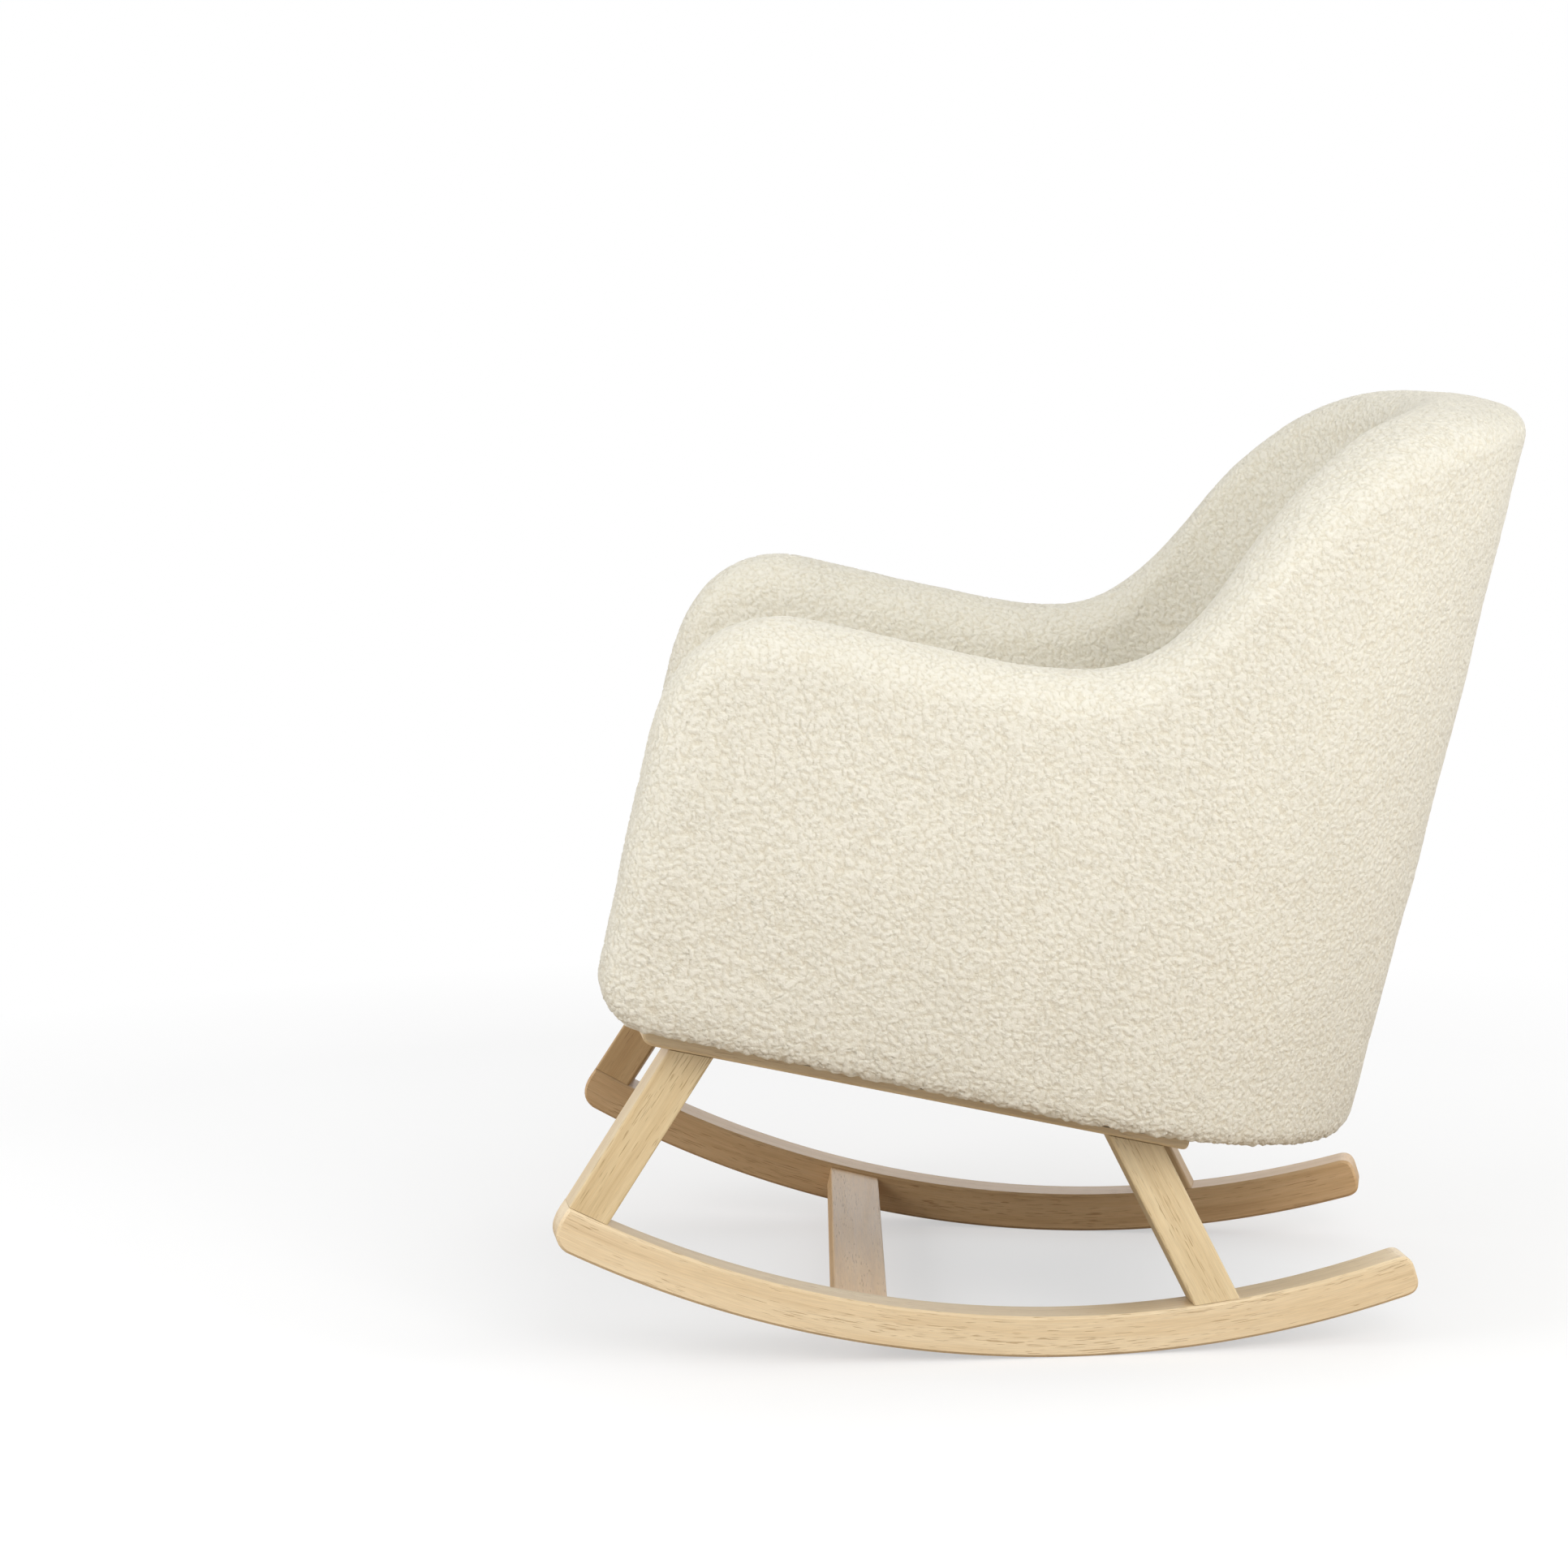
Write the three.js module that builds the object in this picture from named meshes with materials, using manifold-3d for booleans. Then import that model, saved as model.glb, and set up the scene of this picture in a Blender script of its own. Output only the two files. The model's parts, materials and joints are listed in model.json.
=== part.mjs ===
// Nursery rocking chair: an upholstered tub on two toed-in side frames with curved runners.
//
// Millimetres, +Z up. The chair faces -Y, so the sitter's left is +X. The origin is on the floor,
// in the middle of the chair's box. The tub and everything in it are built in a "body" group,
// which leans back by PITCH: there Y runs rearwards along the tub's bottom and Z stands square to it.

import * as THREE from "three";
import { mergeVertices } from "three/addons/utils/BufferGeometryUtils.js";
import Module from "manifold-3d";

// ---------------------------------------------------------------- driving dimensions

const GAP = 0.3; // clearance between pieces that touch

// Rocking base
const ROCK_RADIUS = 1051; // outer curve of the runners
const RUNNER_DEPTH = 38;
const RUNNER_WIDTH = 42;
const RUNNER_FRONT = 488; // reach of the runner in front of the contact line
const RUNNER_REAR = 321;
// Rounded ends: lengths along the tread, and the front end's fullness ahead of and above its corner
const RUNNER_END = { frontRound: 13, rearRound: 14, shoulder: 8, ahead: 7, above: 3 };
const RUNNER_GAUGE = 500; // between the runners' centre planes at the contact line
const TOE = 8.4; // degrees each side frame closes in towards the rear
const EASE = 2.5; // eased edges of the timber
const LEG_THICKNESS = 38;
// Legs: lean in degrees, footAt is where the centre line meets the runner's top
const FRONT_LEG = { width: 39, lean: -32.7, footAt: -456 };
const REAR_LEG = { width: 41, lean: 26.9, footAt: 127 };
const RAIL = { width: 42, depth: 18, front: -462, rear: 51, frontRound: 14, rearRound: 6 };
const STRETCHER = { width: 50, thickness: 20, ease: 1.5, at: -201, below: 4 };
const LEG_BLANK = { below: 80, length: 400 }; // before its ends are trimmed
const DOWEL = { diameter: 10, length: 34, inRunner: 14, inRail: 13 };
const STRETCHER_PEG = { diameter: 8, length: 32 };
const STRETCHER_PEGS = [-12, 12];
const OVERBORE = 1; // how much deeper a dowel's hole is than the dowel, at each end

// Body
const PITCH = 12.8; // degrees the body leans back
const BODY_FLOOR = 227; // from the pitch axis, on the floor at the contact line, to the tub's bottom
const TUB_FRONT = -510;
const CURVE_START = -60; // where the straight sides turn into the curved back
const TUB_REAR = 234;
const CREST_HALF_WIDTH = 305; // from the middle to the roll's centre, at CURVE_START
const SIDE_TOE = 0.0875; // how fast the sides close in towards the rear
const BACK_SQUARENESS = 2.1; // exponent of the back's curve in plan: 2 is an ellipse
const WALL = 100;
const BACK_PAD = 14; // extra padding on the inside of the back
const ARM_HEIGHT = 387.5;
const BACK_HEIGHT = 712;
const SWEEP = { middle: -9, low: 75, high: 108 }; // the tub's top line rises from arm to back on a tanh
const FRONT_CORNER = { reach: 118, drop: 135, squareness: 2.3 }; // top front corner of each arm
const FOOT_CORNER = 48; // lower front corner of each arm, a quarter circle
const EDGE_ROUND = 36; // the arm front's upright edges, in plan
const HEM_ROUND = 17; // lower outer edge of the tub
const FLARE = 7; // how much further out the wall stands at the arm than at the hem
const BELLY = 5; // fullness of the arms' outer side
const ARM_ROLL = 0.95; // height of the rolled top, as a share of half the wall's thickness
const BACK_ROLL = 0.64;

// Frame inside the body
// Panels: foot is above the tub's bottom, below is how far the top edge lies under the tub's top line
const PANEL = { thickness: 15, front: -470, rear: 38, foot: 3, below: 62, cornerReach: 70, cornerDrop: 80 };
const BACK_PANEL = { thickness: 9, behind: 16, foot: 3, below: 70 };
const POCKET_FOOT = -5; // the pockets run out through the tub's bottom
const BOARD = { bottom: 4, thickness: 20 };
const FRONT_BOARD = [-462, -362];
const REAR_BOARD = [-68, 32];
const BOLT_ROWS = [-374, -47]; // along the body, clear of the legs
const BOLT = {
  shank: 8, head: 14, headHeight: 4.5, washer: 16, washerHeight: 1.6, recess: 19, recessDepth: 7,
};
const TEE_NUT = { barrel: 10.4, flange: 20, flangeHeight: 1.8, depth: 13 };
const SPRING_ROWS = [-165, -55, 55, 165];
const SPRING = { wire: 4, reach: 24, loop: 3, pitch: 36, front: -448, runs: 14, lift: 3.5 };
const CLIP = { width: 15, length: 16, foot: 0.9, plate: 1.6, bore: 6, slack: 0.4 };
const DECK = { bottom: 33.4, thickness: 9, front: -456, sideGap: 1, corner: 6 };
const CUSHION = { bottom: 43, top: 158, front: -504, sideGap: 5, corner: 40, round: 26 };
const BORDER = { front: -503, rear: -464, bottom: 1, top: 42, sideGap: 2, round: 8 };
const DUST = { thickness: 1.2, inset: 14 };
const ZIP = { from: 120, height: 9, thickness: 2 }; // from: where along the body its ends lie

const LOOKS = {
  pile: { color: 0xe3dac0, roughness: 0.95 },
  wood: { color: 0xd2b183, roughness: 0.5 },
  plywood: { color: 0xcdb48a, roughness: 0.7 },
  steel: { color: 0xa9adb2, roughness: 0.35, metalness: 0.9 },
  cloth: { color: 0x2b2926, roughness: 0.95 },
  deck: { color: 0xcfc7b4, roughness: 0.95 },
  zip: { color: 0xd8d0ba, roughness: 0.7 },
};

// Levels in the body that several pieces share
const RAIL_UNDERSIDE = -RAIL.depth - DUST.thickness - 2 * GAP;
const BOARD_TOP = BOARD.bottom + BOARD.thickness;
const WIRE_LEVEL = BOARD_TOP + SPRING.lift;

const radians = THREE.MathUtils.degToRad;
const FAR = 1000; // longer than any piece, for cutting tools
const PEG_SIDES = 12;

// ---------------------------------------------------------------- booleans

const wasm = await Module();
wasm.setup();

/** A closed geometry as a manifold-3d solid. */
function solidOf(geometry) {
  const bare = new THREE.BufferGeometry();
  bare.setAttribute("position", geometry.getAttribute("position"));
  if (geometry.index) bare.setIndex(geometry.index);
  const merged = mergeVertices(bare, 1e-3);
  const vertProperties = Float32Array.from(merged.attributes.position.array);
  const triVerts = Uint32Array.from(merged.index.array);
  return new wasm.Manifold(new wasm.Mesh({ numProp: 3, vertProperties, triVerts }));
}

/** A manifold-3d solid as a BufferGeometry. */
function geometryOf(solid) {
  const mesh = solid.getMesh();
  const positions = new Float32Array(mesh.numVert * 3);
  for (let i = 0; i < mesh.numVert; i++) {
    positions.set(mesh.vertProperties.subarray(i * mesh.numProp, i * mesh.numProp + 3), i * 3);
  }
  const geometry = new THREE.BufferGeometry();
  geometry.setAttribute("position", new THREE.BufferAttribute(positions, 3));
  geometry.setIndex(new THREE.BufferAttribute(Uint32Array.from(mesh.triVerts), 1));
  const shaded = geometry.toNonIndexed();
  shaded.computeVertexNormals();
  return shaded;
}

/** geometry with every tool cut away. */
function cut(geometry, tools) {
  let solid = solidOf(geometry);
  for (const tool of tools) solid = solid.subtract(solidOf(tool));
  return geometryOf(solid);
}

/** All the geometries joined into one. */
function join(geometries) {
  return geometryOf(geometries.map(solidOf).reduce((a, b) => a.add(b)));
}

// ---------------------------------------------------------------- shape helpers

/** A box from its low to its high corner. */
function box(low, high) {
  const size = high.map((value, i) => value - low[i]);
  const centre = high.map((value, i) => (value + low[i]) / 2);
  return new THREE.BoxGeometry(...size).translate(...centre);
}

/** A cylinder along +Z from bottom to top. */
function post(diameter, bottom, top, sides = 16) {
  const cylinder = new THREE.CylinderGeometry(diameter / 2, diameter / 2, top - bottom, sides);
  return cylinder.rotateX(Math.PI / 2).translate(0, 0, (top + bottom) / 2);
}

/** An outline extruded along +Z, its edges eased inwards so the outline keeps its size. */
function easedExtrusion(outline, depth, ease, segments = 2) {
  return new THREE.ExtrudeGeometry(outline, {
    depth: depth - 2 * ease,
    bevelEnabled: ease > 0,
    bevelThickness: ease,
    bevelSize: ease,
    bevelOffset: -ease,
    bevelSegments: segments,
    curveSegments: 8,
  }).translate(0, 0, ease);
}

/** A rectangle about the origin with rounded corners. */
function roundedRectangle(width, height, radius) {
  const x = width / 2;
  const y = height / 2;
  const shape = new THREE.Shape();
  shape.moveTo(-x + radius, -y);
  shape.lineTo(x - radius, -y);
  shape.absarc(x - radius, -y + radius, radius, -Math.PI / 2, 0);
  shape.lineTo(x, y - radius);
  shape.absarc(x - radius, y - radius, radius, 0, Math.PI / 2);
  shape.lineTo(-x + radius, y);
  shape.absarc(-x + radius, y - radius, radius, Math.PI / 2, Math.PI);
  shape.lineTo(-x, -y + radius);
  shape.absarc(-x + radius, -y + radius, radius, Math.PI, 1.5 * Math.PI);
  return shape;
}

/** A closed body through a row of loops with equal point counts, with a fan at each end. */
function loft(loops) {
  const count = loops[0].length;
  const points = loops.flat();
  const faces = [];
  for (let i = 0; i < loops.length - 1; i++) {
    for (let j = 0; j < count; j++) {
      const k = (j + 1) % count;
      const a = i * count + j;
      const b = i * count + k;
      faces.push(a, b + count, b, a, a + count, b + count);
    }
  }
  const addCap = (loop, start, flipped) => {
    const centre = loop.reduce((sum, p) => sum.add(p), new THREE.Vector3()).divideScalar(count);
    const hub = points.push(centre) - 1;
    for (let j = 0; j < count; j++) {
      const a = start + j;
      const b = start + ((j + 1) % count);
      faces.push(hub, flipped ? b : a, flipped ? a : b);
    }
  };
  addCap(loops[0], 0, false);
  addCap(loops.at(-1), (loops.length - 1) * count, true);
  const geometry = new THREE.BufferGeometry().setFromPoints(points);
  geometry.setIndex(faces);
  geometry.computeVertexNormals();
  return geometry;
}

// ---------------------------------------------------------------- scene graph

const chair = new THREE.Group();
const base = new THREE.Group();
const body = new THREE.Group();
body.rotation.x = -radians(PITCH);
body.position.set(0, BODY_FLOOR * Math.sin(radians(PITCH)), BODY_FLOOR * Math.cos(radians(PITCH)));
chair.add(base, body);
body.updateMatrixWorld(true);

function addMesh(parent, name, geometry, look) {
  const mesh = new THREE.Mesh(geometry, new THREE.MeshStandardMaterial(look));
  mesh.name = name;
  parent.add(mesh);
}

const SIDES = [
  { name: "left", sign: 1 },
  { name: "right", sign: -1 },
];

// ---------------------------------------------------------------- rocking base

const TREAD_FACETS = 61; // odd, so that one flat facet lies on the floor at rest
const TOP_STEPS = 44; // straight steps along the top's arc
const SPAN = Math.asin(RUNNER_FRONT / ROCK_RADIUS) + Math.asin(RUNNER_REAR / ROCK_RADIUS);
const FACET = SPAN / TREAD_FACETS;
const ROCK_CENTRE = ROCK_RADIUS * Math.cos(FACET / 2);
const TOP_RADIUS = ROCK_RADIUS - RUNNER_DEPTH;

/** A side frame's own group: X points out of the chair, Y runs rearwards, Z up. */
function sideFrame(side) {
  const frame = new THREE.Group();
  frame.position.x = (side.sign * RUNNER_GAUGE) / 2;
  frame.rotation.z = side.sign * radians(TOE);
  base.add(frame);
  frame.updateMatrixWorld(true);
  return frame;
}

/** Turns an outline drawn in (rearwards, up) and extruded into a piece centred in the frame's plane. */
function standInFrame(geometry, width) {
  const turn = new THREE.Matrix4().makeBasis(
    new THREE.Vector3(0, 1, 0),
    new THREE.Vector3(0, 0, 1),
    new THREE.Vector3(1, 0, 0),
  );
  return geometry.translate(0, 0, -width / 2).applyMatrix4(turn);
}

/** Height of the runner's top above the floor. */
function runnerTop(along, radius = TOP_RADIUS) {
  return ROCK_CENTRE - Math.sqrt(radius * radius - along * along);
}

/** Along-position and height of a point on a leg's centre line, by its height above the foot. */
function legPoint(leg, up) {
  return { along: leg.footAt - up * Math.tan(radians(leg.lean)), height: runnerTop(leg.footAt) + up };
}

/** Side view of a runner: a faceted tread, an arc on top, and rounded ends. */
function runnerOutline() {
  const outline = new THREE.Shape();
  const { frontRound, rearRound, shoulder, ahead, above } = RUNNER_END;
  const at = (angle, radius) => [radius * Math.sin(angle), ROCK_CENTRE - radius * Math.cos(angle)];
  const first = -Math.asin(RUNNER_FRONT / ROCK_RADIUS);
  const last = Math.asin(RUNNER_REAR / ROCK_RADIUS);
  const treadStart = first + frontRound / ROCK_RADIUS;
  const treadStop = last - rearRound / ROCK_RADIUS;
  outline.moveTo(...at(treadStart, ROCK_RADIUS));
  const firstJoint = Math.ceil(treadStart / FACET - 0.5) + 0.5;
  for (let angle = firstJoint * FACET; angle < treadStop; angle += FACET) {
    outline.lineTo(...at(angle, ROCK_RADIUS));
  }
  outline.lineTo(...at(treadStop, ROCK_RADIUS));
  outline.quadraticCurveTo(...at(last, ROCK_RADIUS), ...at(last, ROCK_RADIUS - rearRound));
  outline.lineTo(...at(last, TOP_RADIUS + rearRound));
  outline.quadraticCurveTo(...at(last, TOP_RADIUS), ...at(treadStop, TOP_RADIUS));
  const topFront = Math.asin(FRONT_LEG.footAt / TOP_RADIUS) - FRONT_LEG.width / 2 / TOP_RADIUS;
  for (let i = 1; i <= TOP_STEPS; i++) {
    outline.lineTo(...at(THREE.MathUtils.lerp(treadStop, topFront, i / TOP_STEPS), TOP_RADIUS));
  }
  const nose = at(first - ahead / ROCK_RADIUS, ROCK_RADIUS - above);
  outline.lineTo(...at(topFront - 1 / TOP_RADIUS, TOP_RADIUS + shoulder));
  outline.quadraticCurveTo(...nose, ...at(treadStart, ROCK_RADIUS));
  return outline;
}

/** The space of the rail and everything above it, in a side frame's coordinates. */
function railSpace(frame) {
  const cutter = box([-FAR, -FAR, RAIL_UNDERSIDE - GAP], [FAR, FAR, FAR]);
  cutter.applyMatrix4(body.matrixWorld);
  return cutter.applyMatrix4(frame.matrixWorld.clone().invert());
}

/** The two dowels on a leg's centre line, one into the runner and one into the rail. */
function legDowels(leg, legLength) {
  const dowel = (end, up, low) => ({
    end,
    post(diameter, extra) {
      const { along, height } = legPoint(leg, up);
      const peg = post(diameter, low - extra, low + DOWEL.length + extra, PEG_SIDES);
      return peg.rotateX(radians(leg.lean)).translate(0, along, height);
    },
  });
  return [dowel("foot", 0, -DOWEL.inRunner), dowel("head", legLength, DOWEL.inRail - DOWEL.length)];
}

/** How high above its foot the leg's centre line meets the rail's underside. */
function legRise(leg, frame) {
  const above = (up) => {
    const { along, height } = legPoint(leg, up);
    const world = frame.localToWorld(new THREE.Vector3(0, along, height));
    return body.worldToLocal(world).z - RAIL_UNDERSIDE + GAP;
  };
  return above(0) / (above(0) - above(1));
}

function legBlank(leg) {
  const outline = roundedRectangle(LEG_THICKNESS, leg.width, EASE);
  const bar = new THREE.ExtrudeGeometry(outline, {
    depth: LEG_BLANK.length, bevelEnabled: false, curveSegments: 2,
  });
  const start = legPoint(leg, 0);
  bar.translate(0, 0, -LEG_BLANK.below).rotateX(radians(leg.lean));
  return bar.translate(0, start.along, start.height);
}

/** The space under a leg's foot, up to just clear of the runner's top. */
function footSpace(leg) {
  const cutter = box([-FAR, -FAR, -FAR], [FAR, FAR, 0]).rotateX(Math.asin(leg.footAt / TOP_RADIUS));
  return cutter.translate(0, leg.footAt, runnerTop(leg.footAt) + 2 * GAP);
}

/** A top rail under the body, its lower corners rounded at both ends. */
function railGeometry(side, holes) {
  const { front, rear, depth, width, frontRound, rearRound } = RAIL;
  const start = new THREE.Vector2(railCentre(side, front), front);
  const end = new THREE.Vector2(railCentre(side, rear), rear);
  const length = start.distanceTo(end);
  const outline = new THREE.Shape();
  outline.moveTo(frontRound, 0);
  outline.lineTo(length - rearRound, 0);
  outline.quadraticCurveTo(length, 0, length, rearRound);
  outline.lineTo(length, depth);
  outline.lineTo(0, depth);
  outline.lineTo(0, frontRound);
  outline.quadraticCurveTo(0, 0, frontRound, 0);
  const bar = standInFrame(easedExtrusion(outline, width, EASE), width);
  const turn = Math.atan2(end.x - start.x, end.y - start.y);
  bar.rotateZ(-turn).translate(start.x, start.y, RAIL_UNDERSIDE);
  return cut(bar, holes);
}

/** Across-position of a rail's centre line, by its place along the body. */
function railCentre(side, u) {
  const world = new THREE.Vector3(0, u, 0).applyMatrix4(body.matrixWorld);
  const along = world.y / Math.cos(radians(TOE));
  return side.sign * (RUNNER_GAUGE / 2 - along * Math.sin(radians(TOE)));
}

function boltHoles(side, diameter, low, high) {
  return BOLT_ROWS.map((row) => post(diameter, low, high).translate(railCentre(side, row), row, 0));
}

function addSideFrame(side) {
  const frame = sideFrame(side);
  const dowelTools = { runner: [], rail: [] };
  const legs = [
    { name: "front_leg", spec: FRONT_LEG },
    { name: "rear_leg", spec: REAR_LEG },
  ];
  for (const { name, spec } of legs) {
    const rise = legRise(spec, frame);
    const dowels = legDowels(spec, rise);
    const holes = dowels.map((dowel) => dowel.post(DOWEL.diameter + 2 * GAP, OVERBORE));
    const leg = cut(legBlank(spec), [railSpace(frame), footSpace(spec), ...holes]);
    addMesh(frame, `${name}_${side.name}`, leg, LOOKS.wood);
    for (const dowel of dowels) {
      addMesh(frame, `${name}_${dowel.end}_dowel_${side.name}`, dowel.post(DOWEL.diameter, 0), LOOKS.wood);
    }
    dowelTools.runner.push(holes[0]);
    const intoBody = body.matrixWorld.clone().invert().multiply(frame.matrixWorld);
    dowelTools.rail.push(holes[1].applyMatrix4(intoBody));
  }

  const blank = standInFrame(easedExtrusion(runnerOutline(), RUNNER_WIDTH, EASE, 1), RUNNER_WIDTH);
  const runner = cut(blank, [...dowelTools.runner, ...stretcherHoles(frame)]);
  addMesh(frame, `runner_${side.name}`, runner, LOOKS.wood);

  const shanks = boltHoles(side, BOLT.shank + 2 * GAP, -FAR, FAR);
  const recesses = boltHoles(side, BOLT.recess, -FAR, RAIL_UNDERSIDE + BOLT.recessDepth);
  const rail = railGeometry(side, [...dowelTools.rail, ...shanks, ...recesses]);
  addMesh(body, `top_rail_${side.name}`, rail, LOOKS.wood);
}

// ---------------------------------------------------------------- stretcher

const STRETCHER_TILT = Math.asin(STRETCHER.at / TOP_RADIUS);
const STRETCHER_TOP = runnerTop(STRETCHER.at) - STRETCHER.below;

/** The runner's inner face, as the half-width of the space between the runners. */
function innerHalfWidth(y) {
  const toe = radians(TOE);
  return RUNNER_GAUGE / 2 - y * Math.tan(toe) - RUNNER_WIDTH / 2 / Math.cos(toe);
}

/** Puts a piece drawn about the stretcher's middle, its top at zero, where the stretcher lies. */
function placeStretcher(geometry) {
  return geometry.rotateX(STRETCHER_TILT).translate(0, STRETCHER.at, STRETCHER_TOP);
}

/** A dowel between the stretcher's end and a runner. */
function stretcherDowel(side, offset, diameter, length) {
  const reach = innerHalfWidth(STRETCHER.at);
  const peg = post(diameter, -length / 2, length / 2, PEG_SIDES).rotateY(Math.PI / 2);
  return placeStretcher(peg.translate(side.sign * reach, offset, -STRETCHER.thickness / 2));
}

/** Holes for the stretcher's dowels, in a frame's own coordinates. */
function stretcherHoles(frame) {
  const inverse = frame.matrixWorld.clone().invert();
  const diameter = STRETCHER_PEG.diameter + 2 * GAP;
  const length = STRETCHER_PEG.length + 2 * OVERBORE;
  return SIDES.flatMap((side) =>
    STRETCHER_PEGS.map((offset) => stretcherDowel(side, offset, diameter, length).applyMatrix4(inverse)),
  );
}

function addStretcher() {
  const half = STRETCHER.width / 2;
  const outline = new THREE.Shape();
  const front = innerHalfWidth(STRETCHER.at - half) - 2 * GAP;
  const rear = innerHalfWidth(STRETCHER.at + half) - 2 * GAP;
  outline.moveTo(-front, -half);
  outline.lineTo(front, -half);
  outline.lineTo(rear, half);
  outline.lineTo(-rear, half);
  const board = easedExtrusion(outline, STRETCHER.thickness, STRETCHER.ease);
  board.translate(0, 0, -STRETCHER.thickness);
  addMesh(base, "stretcher", cut(placeStretcher(board), stretcherHoles(base)), LOOKS.wood);
  for (const side of SIDES) {
    STRETCHER_PEGS.forEach((offset, i) => {
      const peg = stretcherDowel(side, offset, STRETCHER_PEG.diameter, STRETCHER_PEG.length);
      addMesh(base, `stretcher_dowel_${side.name}_${i + 1}`, peg, LOOKS.wood);
    });
  }
}

// ---------------------------------------------------------------- the tub's lines

const BACK_CENTRE = TUB_REAR - WALL / 2; // the wall's centre line at the very back
const CURVE_LENGTH = BACK_CENTRE - CURVE_START;

/** How much of the back, rather than of an arm, there is at u: 0 on the arms, 1 at the very back. */
function backness(u) {
  return THREE.MathUtils.smoothstep(u, CURVE_START, BACK_CENTRE);
}

/** From the wall's centre line in to the sitter's side of it, at u. */
function innerDepth(u) {
  return WALL / 2 + BACK_PAD * backness(u);
}

/** Half-width of the tub's centre line where its side runs straight. */
function straightHalf(u) {
  return CREST_HALF_WIDTH - SIDE_TOE * (u - CURVE_START);
}

/** Half-width of the tub's centre line at u, its place along the body. */
function wallCentre(u) {
  if (u <= CURVE_START) return straightHalf(u);
  const t = Math.min((u - CURVE_START) / CURVE_LENGTH, 1);
  return straightHalf(u) * (1 - t ** BACK_SQUARENESS) ** (1 / BACK_SQUARENESS);
}

/** Height of the tub's top line at u. */
function crestHeight(u) {
  const length = u < SWEEP.middle ? SWEEP.low : SWEEP.high;
  const rise = 0.5 + 0.5 * Math.tanh((u - SWEEP.middle) / length);
  return ARM_HEIGHT + (BACK_HEIGHT - ARM_HEIGHT) * rise;
}

/** Points of the tub's centre line in plan, from the left arm's front round to the right arm's. */
function tubPath(frontEnd, straightSteps, curveSteps) {
  const half = [];
  for (const u of frontEnd) half.push([wallCentre(u), u]);
  const from = frontEnd.at(-1);
  for (let i = 1; i <= straightSteps; i++) {
    const u = THREE.MathUtils.lerp(from, CURVE_START, i / straightSteps);
    half.push([wallCentre(u), u]);
  }
  for (let i = 1; i <= curveSteps; i++) {
    const angle = (Math.PI / 2) * (i / curveSteps);
    const t = Math.sin(angle) ** (2 / BACK_SQUARENESS);
    const u = CURVE_START + CURVE_LENGTH * t;
    half.push([i === curveSteps ? 0 : straightHalf(u) * Math.cos(angle) ** (2 / BACK_SQUARENESS), u]);
  }
  const mirrored = half.slice(0, -1).reverse();
  return [...half, ...mirrored.map(([x, u]) => [-x, u])].map(([x, u]) => new THREE.Vector2(x, u));
}

/** Outward normal of a path at each of its points. */
function pathNormals(path) {
  return path.map((_, i) => {
    const before = path[Math.max(i - 1, 0)];
    const after = path[Math.min(i + 1, path.length - 1)];
    const along = after.clone().sub(before).normalize();
    return new THREE.Vector2(along.y, -along.x);
  });
}

/** (outwards, up) points of a section, stood on the path at a point with its normal. */
function acrossPath(point, normal, section) {
  return section.map(([out, up]) =>
    new THREE.Vector3(point.x + normal.x * out, point.y + normal.y * out, up));
}

/** Share of a corner used up at a distance from its end: 0 at the end, 1 past its reach. */
function cornerShare(distance, reach, squareness) {
  if (distance >= reach) return 1;
  return (1 - (1 - distance / reach) ** squareness) ** (1 / squareness);
}

const HEM_SHARE = 0.6; // of half the wall's thickness: the most the hem's rounding may take
const HEM_STEPS = 4;
const FACE_STEPS = 5;
const ROLL_STEPS = 10;
const INNER_STEPS = 3;

/** The tub wall's outline at one place on its path, as (outwards, up) points. */
function wallSection({ inner, outer, bottom, top, belly, rollHeight }) {
  const points = [];
  const half = (inner + outer) / 2;
  const middle = (outer - inner) / 2;
  const roll = half * rollHeight;
  const rollCentre = top - roll;
  const hem = Math.min(HEM_ROUND, half * HEM_SHARE);
  const height = rollCentre - bottom;
  const flare = FLARE * Math.min(1, half / (WALL / 2));
  const outerAt = (t) => outer - flare * (1 - t) ** 2 + belly * Math.sin(Math.PI * t);
  for (let i = 0; i <= HEM_STEPS; i++) {
    const angle = (Math.PI / 2) * (i / HEM_STEPS);
    const out = outerAt(0) - hem + hem * Math.sin(angle);
    points.push([out, bottom + hem - hem * Math.cos(angle)]);
  }
  for (let i = 1; i < FACE_STEPS; i++) {
    const up = THREE.MathUtils.lerp(bottom + hem, rollCentre, i / FACE_STEPS);
    points.push([outerAt((up - bottom) / height), up]);
  }
  for (let i = 0; i <= ROLL_STEPS; i++) {
    const angle = Math.PI * (i / ROLL_STEPS);
    points.push([middle + half * Math.cos(angle), rollCentre + roll * Math.sin(angle)]);
  }
  for (let i = 1; i <= INNER_STEPS; i++) {
    points.push([-inner, THREE.MathUtils.lerp(rollCentre, bottom, i / INNER_STEPS)]);
  }
  return points;
}

const NOSE_REACH = 112; // behind the tub's front, sections crowd together towards the front
const NOSE_STEPS = 8;

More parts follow.
